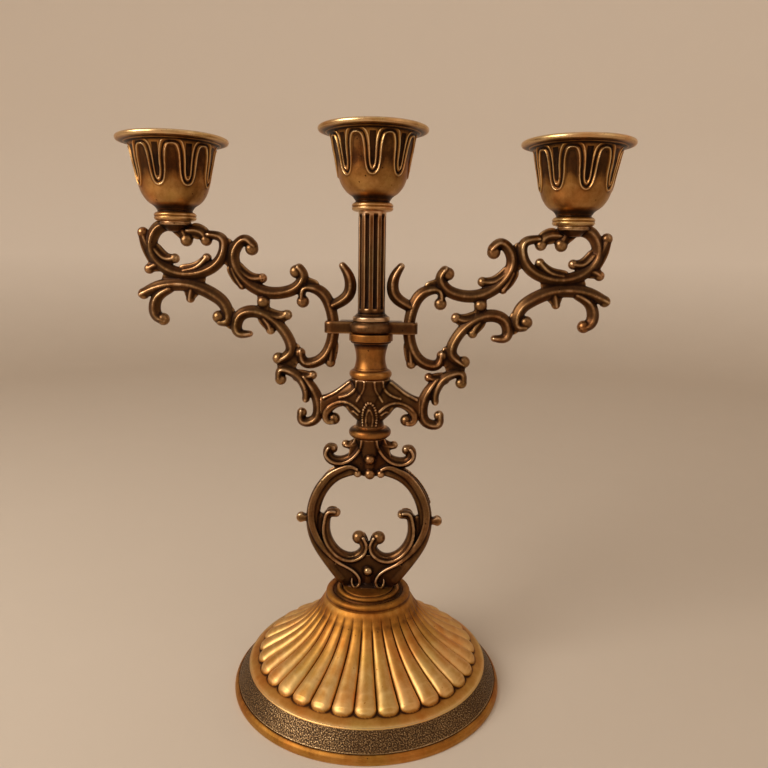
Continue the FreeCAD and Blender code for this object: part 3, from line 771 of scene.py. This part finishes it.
# --- Turned pieces of the middle axis ---
def make_column():
    """Fluted shaft on a thin round flange."""
    flutes_z = (174.6, COLUMN_TOP_Z - 1.2)
    shaft_z = np.concatenate([np.linspace(173.2, 176.0, 9), np.linspace(180.0, 208.0, 6),
                              np.linspace(COLUMN_TOP_Z - 4, COLUMN_TOP_Z, 9)])[:, None]
    angles = even_angles(FLUTES * 28)[None, :]
    turn = (angles * FLUTES / (2 * math.pi)) % 1.0
    trough = np.sqrt(np.clip(1 - (np.abs(turn - 0.5) / 0.26) ** 2, 0, 1))
    ends = np.clip((shaft_z - flutes_z[0]) / 1.2, 0, 1) * np.clip((flutes_z[1] - shaft_z) / 1.0, 0, 1)
    shaft_r = 5.95 - 1.0 * trough * ends
    foot = rounded([(ROD_CLEARANCE, COLUMN_FOOT_Z), (8.1, COLUMN_FOOT_Z), (8.1, 171.0), (6.9, 171.7),
                    (6.3, 172.6)], 0.4)
    plain = 0 * angles
    top = np.array([[ROD_CLEARANCE, COLUMN_TOP_Z]])
    radius = np.concatenate([foot[:, :1] + plain, shaft_r, top[:, :1] + plain])
    height = np.concatenate([foot[:, 1:] + plain, shaft_z + plain, top[:, 1:] + plain])
    shaft = mesh_object("column_cast", turned(radius, height, angles))
    dark = 0.22 * trough * ends - 0.12
    store_patina_and_shade(shaft, np.concatenate([foot[:, :1] * plain, dark, top[:, :1] * plain]))
    finish_piece(shaft, "arms", "dark", ("column",), sharp=70)


def make_spool():
    """Waisted spool between the hub and the yoke, with a bead at its foot."""
    outline = [(ROD_CLEARANCE, HUB_TOP_Z), (8.3, HUB_TOP_Z)]
    outline += arc((7.4, 146.0), 2.0, -70, 80)
    outline += [(7.5, 148.5)]
    outline += smooth_curve(((7.2, 148.8), (6.5, 152.2), (6.8, 156.0), (7.7, 159.4)), 0.8).tolist()
    outline += [(8.8, 159.9), (8.9, 160.6), (9.6, 160.8), (9.6, SPOOL_TOP_Z - 0.3),
                (9.2, SPOOL_TOP_Z), (ROD_CLEARANCE, SPOOL_TOP_Z)]
    outline = rounded(outline, 0.25)
    spool = mesh_object("waist_spool_turned", lathe(outline))
    flange = np.clip((outline[:, 1] - 157.0) / 3.0, 0, 0.6)
    store_patina_and_shade(spool, np.repeat(flange, LATHE_COLUMNS))
    finish_piece(spool, "arms", "copper", ("waist_spool",), sharp=50)


def make_saucer():
    """Round-edged disc between the stem and the hub, darker towards its two faces."""
    top = HUB_FOOT_Z - SEAT_GAP
    outline = [(ROD_CLEARANCE, NECK_Z), (7.6, NECK_Z)]
    outline += arc((7.3, 119.6), 2.15, -62, 72, 12)
    outline += [(7.0, top), (ROD_CLEARANCE, top)]
    outline = rounded(outline, 0.25)
    saucer = mesh_object("saucer_washer_turned", lathe(outline))
    shade = 0.35 * np.clip(np.abs(outline[:, 1] - 119.4) - 0.5, 0, 1)
    store_patina_and_shade(saucer, np.repeat(shade, LATHE_COLUMNS))
    finish_piece(saucer, "stand", "bronze", ("saucer_washer",), sharp=50)


def make_yoke():
    """The yoke keeps the frame's shape, with the edges softened as a casting's are."""
    yoke = bpy.data.objects.new("yoke_cast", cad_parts["yoke"].data.copy())
    bpy.context.scene.collection.objects.link(yoke)
    remeshed(yoke, YOKE_VOXEL, YOKE_ROUNDS)
    finish_piece(yoke, "arms", "dark", ("yoke",))


# --- Ring stem ---
# Centre lines of the stem's +X half, as (x, z, width) points, and outlines of its flat grounds
RING_BAND = ((7, 101.3, 3.8), (14.8, 99.1, 5.4), (22.2, 91.5, 6), (25.7, 80.5, 6),
             (24.8, 69.4, 5.5), (19.7, 59.6, 5.3), (11.8, 49.2, 5.8))
RING_RIDGE = ((5.6, 102.6, 1.6), (8, 103.6, 2), (12.2, 102.6, 2.6), (17, 99.9, 3),
              (21.1, 95.4, 3.2), (24.4, 89.4, 3.2), (26.2, 83, 3.2), (26.1, 77.2, 3.2),
              (24.4, 71.2, 3), (21, 65.2, 2.6), (16.9, 60.6, 2), (12.8, 57.4, 1.6),
              (8.8, 55.2, 1.4), (5.3, 52.4, 1.4), (3.8, 49.4, 1.4), (4.3, 47, 1.4),
              (6, 46.4, 1.3), (7.2, 47.6, 1.1), (7.3, 50, 0.8))
HEART_SCROLL = ((14.9, 80.9, 3.4), (18.1, 80.6, 3.7), (19.9, 75.9, 3.9), (18.8, 67, 4.8),
                (13.5, 60.1, 5.7), (6.2, 59.1, 5.3), (1.9, 64.8, 3.9), (3.9, 68.8, 3.7))
HEART_RIDGE = ((15.6, 82, 1.4), (18.2, 81.9, 1.6), (20.1, 78, 1.6), (20.6, 73, 1.6),
               (19.6, 67.9, 1.6), (17.2, 63.6, 1.6), (13.4, 60.2, 1.6), (9, 58.8, 1.6),
               (4.9, 59.6, 1.6), (1.9, 62.2, 1.5), (0.9, 66, 1.5), (2.4, 69.8, 1.4))
TOP_SCROLL = ((3.4, 115, 3.8), (5.9, 109.8, 4.3), (12.4, 105.7, 4.5), (18.5, 107.8, 4.5),
              (17.9, 112, 3.6), (16.3, 112, 3))
TOP_RIDGE = ((3.3, 117, 1.3), (3.9, 113, 1.4), (6.2, 109.2, 1.4), (9.8, 106.2, 1.5),
             (14, 105.2, 1.5), (17.7, 106.5, 1.5), (19.6, 109.4, 1.5), (18.4, 112.2, 1.3))
TOP_SPUR = ((4.2, 114.8, 5.4), (7.4, 113.4, 4.6), (10.2, 113.2, 3))
SIDE_SPUR = ((27, 78.2, 2.4), (29.4, 78.2, 2.8), (31.2, 78.3, 4.4))
RING_WEBS = (((22.9, 78.6, 4.3), (22, 68.7, 5), (16.3, 59.2, 5), (9.7, 52.4, 5.1)),
             ((4.2, 113, 5.3), (6.3, 107.6, 6.4), (13.7, 102.7, 4.3)))
RING_HALF_DEPTH = 2.9
FOOT_FLATNESS = 0.42  # depth of the stem's foot over its width
RING_FOOT = ((-0.5, 46), (11.6, 46), (12.6, 50), (16, 56), (12, 60), (4, 61.5), (-0.5, 61.5))
RING_TOP = ((-0.5, 98.6), (8, 100.4), (14, 102.6), (11.4, 105.6), (9.6, 108.6), (9, 111.8),
            (6.6, NECK_Z), (-0.5, NECK_Z))


def stem_face(x, z):
    """Half depth of the stem's face at (x, z): the round neck above, flat webs below."""
    neck = np.interp(z, (100, 106, 111, 115, 117), (2.6, 3.4, 4.6, 6.0, 6.7))
    foot = np.interp(z, (46, 47.2, 48, 58, 63), (4.6, 3.8, 3.4, 3.4, 3.0))
    return np.maximum(np.sqrt(np.clip(neck ** 2 - x ** 2, 0, None)), np.where(z < 80, foot, 3.0))


def roped_edge():
    """Row of small beads along the outer edge of the ring's upper quarter, on the +X side."""
    path = smooth_curve(RING_BAND, 1.35)
    along = np.gradient(path[:, :2], axis=0)
    along /= np.linalg.norm(along, axis=1)[:, None]
    outward = np.stack([-along[:, 1], along[:, 0]], 1)
    edge = path[:, :2] + outward * path[:, 2:] / 2
    return [knob(x, z, 0.8, 1.0, 0.6) for x, z in edge if 86 < z < 103]


def make_ring_stem():
    """Openwork stem: ring, heart scroll and top scrolls on a foot, a neck and flat grounds."""
    parts = []
    for mirror in (1.0, -1.0):
        parts += [band(p, flank_section(RING_HALF_DEPTH), mirror) for p in (RING_BAND, HEART_SCROLL)]
        parts.append(band(TOP_SCROLL, flank_section(2.6), mirror))
        parts.append(band(TOP_SPUR, leaf_section, mirror))
        parts.append(band(SIDE_SPUR, plate_section(2.0), mirror))
        for ridge in (RING_RIDGE, HEART_RIDGE, TOP_RIDGE):
            parts += surface_ridge(ridge, mirror, stem_face)
        parts += [band(p, plate_section(1.8), mirror) for p in RING_WEBS]
        parts += [plate(RING_FOOT, 2.7, mirror), plate(RING_TOP, 2.2, mirror)]
        parts += [knob(4.6, 69.2, 3.1, mirror), knob(15.4, 80.9, 2.1, mirror)]
        parts += [knob(16.6, 111.4, 2.2, mirror), knob(10.8, 113.6, 1.9, mirror)]
        parts += [knob(5.2, 100.5, 1.9, mirror, y * 2.0) for y in (-1, 1)]
    for y in (-1, 1):
        parts.append(knob(0.3, 107.6, 2.3, 1.0, y * 3.4))
        parts.append(knob(0.3, 100.4, 2.5, 1.0, y * 2.2))
        parts.append(knob(0.0, 54.0, 2.1, 1.0, y * 2.9))
    parts += roped_edge()
    boss = [(TINY, SEAT_Z), (3.4, SEAT_Z), (3.1, 49.0), (3.0, 56.0), (2.0, 57.4), (TINY, 57.6)]
    neck = [(TINY, 99.0), (2.6, 99.0), (3.4, 106.0), (4.6, 111.0), (6.0, 115.0), (6.7, NECK_Z),
            (TINY, NECK_Z)]
    foot = [(TINY, SEAT_Z), (11.8, SEAT_Z), (11.8, 46.1), (10.2, 46.6), (8.6, 47.2), (5.0, 47.6),
            (TINY, 47.8)]
    parts += [lathe(outline, CORE_COLUMNS) for outline in (boss, neck)]
    vertices, faces = lathe(foot, CORE_COLUMNS)
    parts.append((vertices * (1.0, FOOT_FLATNESS, 1.0), faces))
    stem = remeshed(mesh_object("ring_stem_cast", merged(parts)), VOXEL, CASTING_ROUNDS)
    height = np.array([vertex.co.z for vertex in stem.data.vertices]) / MM
    store_patina_and_shade(stem, 0.5 * np.clip((49.0 - height) / 2.5, 0, 1))
    finish_piece(stem, "stand", "dark", ("ring_stem",))


# --- Hub ---
HUB_VOLUTE = ((4.7, 129.4, 2.6), (7.8, 131.9, 3), (12, 132.9, 3.4), (16, 131.8, 3.8),
              (19, 129.2, 4), (19.8, 126.4, 3.6), (18.6, 124.3, 3.2), (16.9, 124.2, 3))
# The wing's top, its foot and its half depth, each at the x places listed before it
WING_X = (0, 8.6, 11, 14, 17.6, 20, 22.2)
WING_TOP = (143.7, 143.6, 141.9, 139.6, 137.3, 136.3, 135.8)
WING_FOOT_X = (0, 5, 7, 9.2, 11.6, 14.6, 17.4, 19, 22.2)
WING_FOOT = (124, 124, 126, 128.8, 131, 131.6, 129.8, 127.2, 126.2)
WING_DEPTH_X = (0, 6, 12, 18, 22.2)
WING_DEPTH = (6, 5.5, 4.1, 3.1, 2.5)
WING_RIDGES = (
    ((9.1, 142.4, 1.5), (12.4, 139.8, 1.5), (16.4, 137, 1.4), (20.6, 135, 1.3)),
    ((5.7, 143.4, 1.3), (6, 140.8, 1.3), (7.9, 138.2, 1.3), (10.9, 136.4, 1.2), (13.4, 135.6, 1)),
    ((2.2, 143.4, 1), (2.6, 139.9, 1), (4.2, 136.8, 1), (5.6, 134.5, 0.9)),
    ((4.4, 129.9, 1.2), (7.9, 132.8, 1.3), (12, 133.7, 1.3), (15.9, 132.6, 1.3), (19.1, 130, 1.3),
     (20.1, 127.1, 1.3), (18.9, 124.8, 1.2)),
    ((5.2, 128.3, 1), (7.2, 129.6, 1), (9, 129, 1)),
)


def wing(mirror):
    """Wing of the hub, from its round core out to the arm: a section that flattens as it goes."""
    rows, columns = 38, 48
    stations = np.linspace(0, WING_X[-1], rows)[:, None]
    top = np.interp(stations, WING_X, WING_TOP)
    foot = np.interp(stations, WING_FOOT_X, WING_FOOT)
    depth = np.interp(stations, WING_DEPTH_X, WING_DEPTH)
    turn = even_angles(columns)[None, :]
    height, out = [np.sign(wave) * np.abs(wave) ** 0.8 for wave in (np.cos(turn), np.sin(turn))]
    z = (top + foot) / 2 + (top - foot) / 2 * height
    x = mirror * (stations + 0 * z)
    return np.stack([x, depth * out, z], -1).reshape(-1, 3), capped_faces(rows, columns)


def make_hub():
    """Cast hub: a flared core with a wing to each side and a beaded leaf on both faces."""
    core = [(TINY, HUB_FOOT_Z), (6.4, HUB_FOOT_Z), (5.9, 124.5), (5.8, 128.0), (6.0, 132.0),
            (6.8, 137.0), (8.0, 141.0), (8.8, HUB_TOP_Z), (TINY, HUB_TOP_Z)]
    lower_leaf = ((3.0, 126.6, 6.0), (7.0, 129.2, 4.4), (9.6, 131.6, 3.0))
    parts = [lathe(core, CORE_COLUMNS)]
    for mirror in (1.0, -1.0):
        parts.append(wing(mirror))
        parts.append(band(lower_leaf, flank_section(4.2), mirror))
        parts.append(band(HUB_VOLUTE, flank_section(3.3), mirror))
        parts.append(knob(16.2, 125.2, 2.8, mirror))
        for ridge in WING_RIDGES:
            parts += surface_ridge(ridge, mirror, face_depth)
    parts += beaded_leaf()
    hub = remeshed(mesh_object("hub_cast", merged(parts)), VOXEL, CASTING_ROUNDS)
    finish_piece(hub, "arms", "dark", ("hub",))


def face_depth(x, z):
    """Half depth of the hub's face at (x, z): the round core or the wing, whichever is deeper."""
    core = np.interp(z, (122, 128, 137, 141, 144), (6.2, 5.7, 6.6, 7.9, 8.8))
    top, foot = np.interp(x, WING_X, WING_TOP), np.interp(x, WING_FOOT_X, WING_FOOT)
    share = np.clip(np.abs(z - (top + foot) / 2) / ((top - foot) / 2), 0, 1)
    wing_depth = np.interp(x, WING_DEPTH_X, WING_DEPTH) * (1 - share ** 2.5) ** 0.4
    core_depth = np.sqrt(np.clip(core ** 2 - x ** 2, 0, None))
    return np.maximum(np.maximum(core_depth, wing_depth), 2.4)


def beaded_leaf():
    """Pointed arch of small beads with a plain arch inside it, on the front and the back."""
    outer = smooth_curve(((-2.9, 123.6), (-3.0, 128.6), (-2.0, 132.0), (0.0, 133.9), (2.0, 132.0),
                          (3.0, 128.6), (2.9, 123.6)), 1.15)
    inner = smooth_curve(((-1.2, 123.6), (-1.2, 128.4), (0.0, 130.6), (1.2, 128.4), (1.2, 123.6)), 0.4)
    parts = []
    for side in (-1, 1):
        for x, z in outer:
            parts.append(bead(x, side * face_depth(x, z), z, 0.56))
        for x, z in inner:
            parts.append(bead(x, side * face_depth(x, z), z, 0.35))
    return parts


# --- Arms ---
# Centre lines of the right arm's scrolls, as (x, z, width) points from tip to tip
CUP_LOOP = ((86.5, 209.2, 4.6), (91.6, 208.1, 5.4), (95.2, 203.3, 5), (95.4, 197.4, 5.2),
            (89.5, 190.6, 5.2), (80.6, 188.2, 5), (71.4, 190.1, 4.9), (64.8, 196.4, 4.5),
            (64.7, 203.5, 4), (70.1, 205.1, 3.4))
END_SCROLL = ((100.4, 179.4, 4), (94.5, 182, 5.3), (85.9, 183.7, 5.7), (77.2, 182.9, 5.7),
              (68.8, 179.2, 5.7), (63.5, 173.5, 5.1), (63.8, 167.9, 4.3), (66.3, 167.7, 3.5))
END_HOOK = ((88.5, 181.6, 3.7), (94.5, 177, 4.7), (94.2, 169.4, 4.7), (91.5, 168, 3.7))
MID_SCROLL = ((51.4, 200.8, 4.2), (54.2, 203.1, 4.3), (59.4, 198.5, 4.9), (58.9, 191.2, 5.1),
              (53.7, 184.8, 5.3), (46.1, 181, 5.3), (37.7, 181.1, 5.1), (31.2, 184.6, 4.9),
              (29.8, 188.3, 4.6), (31.4, 191.3, 4.2))
LIMB = ((30.3, 178.4, 3.1), (29.6, 182.3, 3.1), (23.3, 182.3, 4.7), (18.2, 175.7, 4.9),
        (16.5, 166.7, 4.9), (18.1, 157.4, 5), (23.5, 151.1, 4.8), (29.4, 150.7, 4.4), (31, 155.3, 2.9))
LOW_SCROLL = ((53.6, 162.6, 2.7), (58.5, 163.2, 4.3), (58.4, 169.4, 5.1), (51.8, 172.5, 5.3),
              (43.6, 169.4, 4.9), (37.3, 162.6, 4.7), (35.4, 155.3, 4.8), (40, 151.3, 3.9))
TAIL_SCROLL = ((40.7, 143.2, 3.3), (40.1, 146.5, 3.6), (34.7, 145.9, 4.4), (29.9, 141.1, 4.2),
               (28.6, 135.6, 3.4), (28.8, 133.9, 3.2))
ROOT_SCROLL = ((29.1, 143.6, 3.3), (24.6, 136.6, 4.8), (23.1, 129.7, 4.9), (25.5, 124.2, 4.5),
               (30.4, 123.9, 4), (30.9, 128.3, 3))
CRESCENT = ((12.6, 192.8, 3), (9.9, 188.4, 4.4), (9.8, 181, 5.1), (16.8, 175.7, 4.5))
SCROLLS = (CUP_LOOP, END_SCROLL, END_HOOK, MID_SCROLL, LIMB, LOW_SCROLL, TAIL_SCROLL, ROOT_SCROLL,
           CRESCENT)

# Leaves and spurs that break from the scrolls
LEAVES = (
    ((83.4, 209, 5.4), (81, 205.6, 4.8), (80, 203, 4.4)),
    ((79, 206.6, 4), (75.8, 206.6, 4), (72.8, 205.2, 4.2), (71.6, 202.8, 4.2)),
    ((94.8, 195.2, 3.6), (97.2, 200.6, 4.5), (99.1, 205.6, 4)),
    ((91.7, 192.2, 3.4), (95.2, 191.4, 3.4), (97, 190.2, 3.6)),
    ((93.9, 198.4, 3), (89.3, 194.6, 3.4), (85.7, 194.8, 3.5)),
    ((81.6, 189.6, 3), (76, 191.2, 3.2), (71.6, 195.2, 3.3)),
    ((78.4, 181.8, 4.2), (79.1, 179.2, 3.6), (79.4, 177.6, 3)),
    ((58.5, 191.4, 2.8), (52.3, 186.9, 3.2), (47.6, 186.9, 3.5)),
    ((60.2, 190.6, 2.8), (58.3, 186.4, 2.8), (56.5, 183.6, 2.8)),
    ((17.1, 158.4, 3), (17.6, 153, 3.1), (17.8, 150.6, 3.6)),
    ((46.8, 169.4, 3.2), (44.9, 166.6, 3.4), (44.2, 164.6, 3.5)),
    ((47.2, 172, 3.9), (40.2, 170.2, 3.9), (36.9, 171.2, 3.8)),
    ((32.2, 144.4, 3), (27.4, 144.2, 3.2), (25.8, 144.8, 3.3)),
)
ARM_WEBS = (((88.8, 186.3, 5.3), (75.1, 186.3, 5.3)), ((62.2, 201.8, 3.6), (62.1, 194, 4.1)),
            ((62.2, 172.3, 4.3), (61.8, 166.7, 4.3)), ((33.1, 156.9, 3.5), (33.7, 151.1, 3.7)),
            ((38.9, 149, 5.2), (35.4, 149.5, 5.2)), ((28.1, 185.7, 4.1), (25, 184.6, 4.1)))
ARM_POST = ((47.1, 181, 5.1), (47.2, 172.4, 5.1))
ARM_KNOBS = ((51.9, 199.4, 2.9), (32.7, 190, 2.9), (29.9, 177.2, 2.8), (67, 169.8, 2.9),
             (40.9, 152, 2.7), (40, 142.6, 2.6), (47.2, 176.8, 2.9), (80.2, 202.6, 2.7),
             (100, 179.4, 2.5), (91.8, 168.4, 2.8), (30.6, 127.6, 2.3), (31.2, 154.6, 2.4))


def make_arms():
    """The two arms are one casting and its mirror image. A plate widens each leaf at its root."""
    parts = [band(p, scroll_section) for p in SCROLLS]
    parts += [band(p, leaf_section) for p in LEAVES]
    parts += [knob(p[-1][0], p[-1][1], p[-1][2] / 2 + 0.45) for p in LEAVES]
    for root, middle, tip in (leaf[-3:] for leaf in LEAVES):
        ground = (root[:2] + (root[2] + 2.6,), middle[:2] + (middle[2] + 1.7,), tip)
        parts.append(band(ground, plate_section(1.3)))
    parts += [band(p, plate_section(1.25)) for p in ARM_WEBS]
    parts.append(band(ARM_POST, plate_section(1.6)))
    parts += [knob(*place) for place in ARM_KNOBS]
    seat_top = SIDE_CUP_Z - SEAT_GAP
    seat = rounded([(TINY, seat_top - 4.2), (3.0, seat_top - 4.2), (5.8, seat_top - 1.8),
                    (6.6, seat_top - 1.5), (6.6, seat_top), (TINY, seat_top)], 0.3)
    parts.append(lathe(seat, CORE_COLUMNS, (SIDE_CUP_X, 0.0)))
    right = remeshed(mesh_object("right_arm_cast", merged(parts)), VOXEL, CASTING_ROUNDS)
    left = bpy.data.objects.new("left_arm_cast", right.data.copy())
    left.data.transform(Matrix.Scale(-1.0, 4, (1, 0, 0)))
    left.data.flip_normals()
    bpy.context.scene.collection.objects.link(left)
    for arm, node in ((right, "right_arm"), (left, "left_arm")):
        finish_piece(arm, "arms", "dark", (node,))


# --- Carried-over fasteners ---
FASTENERS = ("base_washer", "base_nut", "foot_stud", "tie_rod", "centre_cup_nut",
             "left_cup_screw", "right_cup_screw")


def dress_fasteners():
    """The fasteners keep the frame's own meshes, in steel."""
    for node in FASTENERS:
        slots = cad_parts[node].data.materials
        slots.clear()
        slots.append(MATERIALS["steel"])


# --- Studio ---
FLOOR_RINGS = (1, 60, 150, 300, 600, 950)
WALL_BEND = 500.0  # radius of the curve from the floor to the wall
WALL_TOP_Z = 2000.0
STUDIO_COLUMNS = 96
PALE_FROM_Z = 260.0  # the ramp of the plaster's colours ends at this height
PLASTER = ((0, (0.56, 0.475, 0.385)), (0.75, (0.84, 0.75, 0.65)))


def studio_material():
    """Pale plaster, a little darker on the floor than on the wall."""
    nodes = Nodes("studio_plaster")
    height = nodes.tree.nodes.new("ShaderNodeSeparateXYZ")
    nodes.link(nodes.place, height, "Vector")
    rise = nodes.weighted([(height.outputs["Z"], 1 / (PALE_FROM_Z * MM)),
                           (nodes.noise(60.0, 2.0), 0.06)], -0.03)
    nodes.link(nodes.ramp(rise, PLASTER), nodes.surface, "Base Color")
    nodes.surface.inputs["Roughness"].default_value = 0.8
    nodes.bump([(nodes.noise(2.0, 3.0), 0.05, 0.3)])
    return nodes.material


def make_studio():
    """Pale floor that curves up into a round wall, the same from every side."""
    flat = FLOOR_RINGS[-1]
    outline = [(r, 0.0) for r in FLOOR_RINGS]
    outline += arc((flat, WALL_BEND), WALL_BEND, -90, 0, 16)[1:]
    outline = np.array(outline + [(flat + WALL_BEND, WALL_TOP_Z)])
    vertices, _ = turned(outline[:, :1], outline[:, 1:], even_angles(STUDIO_COLUMNS)[None, :])
    faces = grid_faces(len(outline), STUDIO_COLUMNS, False) + [list(range(STUDIO_COLUMNS))]
    mesh = bpy.data.meshes.new("studio_floor")
    mesh.from_pydata((vertices * MM).tolist(), [], faces)
    mesh.polygons.foreach_set("use_smooth", [True] * len(mesh.polygons))
    mesh.materials.append(studio_material())
    floor = bpy.data.objects.new("studio_floor", mesh)
    bpy.context.scene.collection.objects.link(floor)


def add_light(name, place, target, size, power, colour):
    """Round area light at place, in metres, aimed at target."""
    data = bpy.data.lights.new(name, "AREA")
    data.shape, data.size = "DISK", size
    data.energy, data.color = power, colour
    light = bpy.data.objects.new(name, data)
    light.location = place
    light.rotation_euler = Matrix(look_rotation(np.subtract(target, place))).to_euler()
    bpy.context.scene.collection.objects.link(light)


def look_rotation(aim, roll=0.0):
    """Rotation matrix of a light or camera that looks along aim, rolled clockwise in radians."""
    forward = np.array(aim, float) / np.linalg.norm(aim)
    right = np.cross(forward, (0, 0, 1))
    right /= np.linalg.norm(right)
    up = np.cross(right, forward)
    across = math.cos(roll) * right + math.sin(roll) * up
    upward = -math.sin(roll) * right + math.cos(roll) * up
    return np.stack([across, upward, -forward], 1).tolist()


def make_lights():
    """A window high on the left, a weak light from the room, and soft light all round."""
    add_light("window", (-0.66, -0.48, 0.60), (0, 0, 0.13), 0.6, 7.4, (1.0, 0.95, 0.88))
    add_light("room", (0.75, -0.55, 0.55), (0, 0, 0.12), 0.8, 0.6, (1.0, 0.92, 0.84))
    world = bpy.data.worlds.new("studio")
    world.use_nodes = True
    background = world.node_tree.nodes["Background"]
    background.inputs["Color"].default_value = (1.0, 0.91, 0.82, 1.0)
    background.inputs["Strength"].default_value = 0.68
    bpy.context.scene.world = world


def make_camera():
    """Camera at the height of the column, looking slightly down, as a person holds it."""
    place = np.array([16.7, -300.4, 196.3]) * MM
    pitch, yaw, roll = np.radians((10.35, -2.04, 0.88)).tolist()
    aim = (math.sin(yaw) * math.cos(pitch), math.cos(yaw) * math.cos(pitch), -math.sin(pitch))
    data = bpy.data.cameras.new("camera")
    data.sensor_width = 36.0
    data.lens = 32.31
    data.clip_start = 0.01
    data.clip_end = 20.0
    camera = bpy.data.objects.new("camera", data)
    rotation = Matrix(look_rotation(aim, roll)).to_4x4()
    camera.matrix_world = Matrix.Translation(place.tolist()) @ rotation
    bpy.context.scene.collection.objects.link(camera)
    bpy.context.scene.camera = camera


def build():
    make_materials()
    make_dome()
    make_foot()
    make_stippled_band()
    make_ring_stem()
    make_saucer()
    make_hub()
    make_spool()
    make_yoke()
    make_column()
    make_arms()
    make_cup("centre_cup", 0.0, CENTRE_CUP_Z, 2.5)
    make_cup("right_cup", SIDE_CUP_X, SIDE_CUP_Z, 3.0)
    make_cup("left_cup", -SIDE_CUP_X, SIDE_CUP_Z, -5.3)
    dress_fasteners()
    make_studio()
    make_lights()
    make_camera()
    bpy.context.scene.view_settings.view_transform = "Standard"


build()
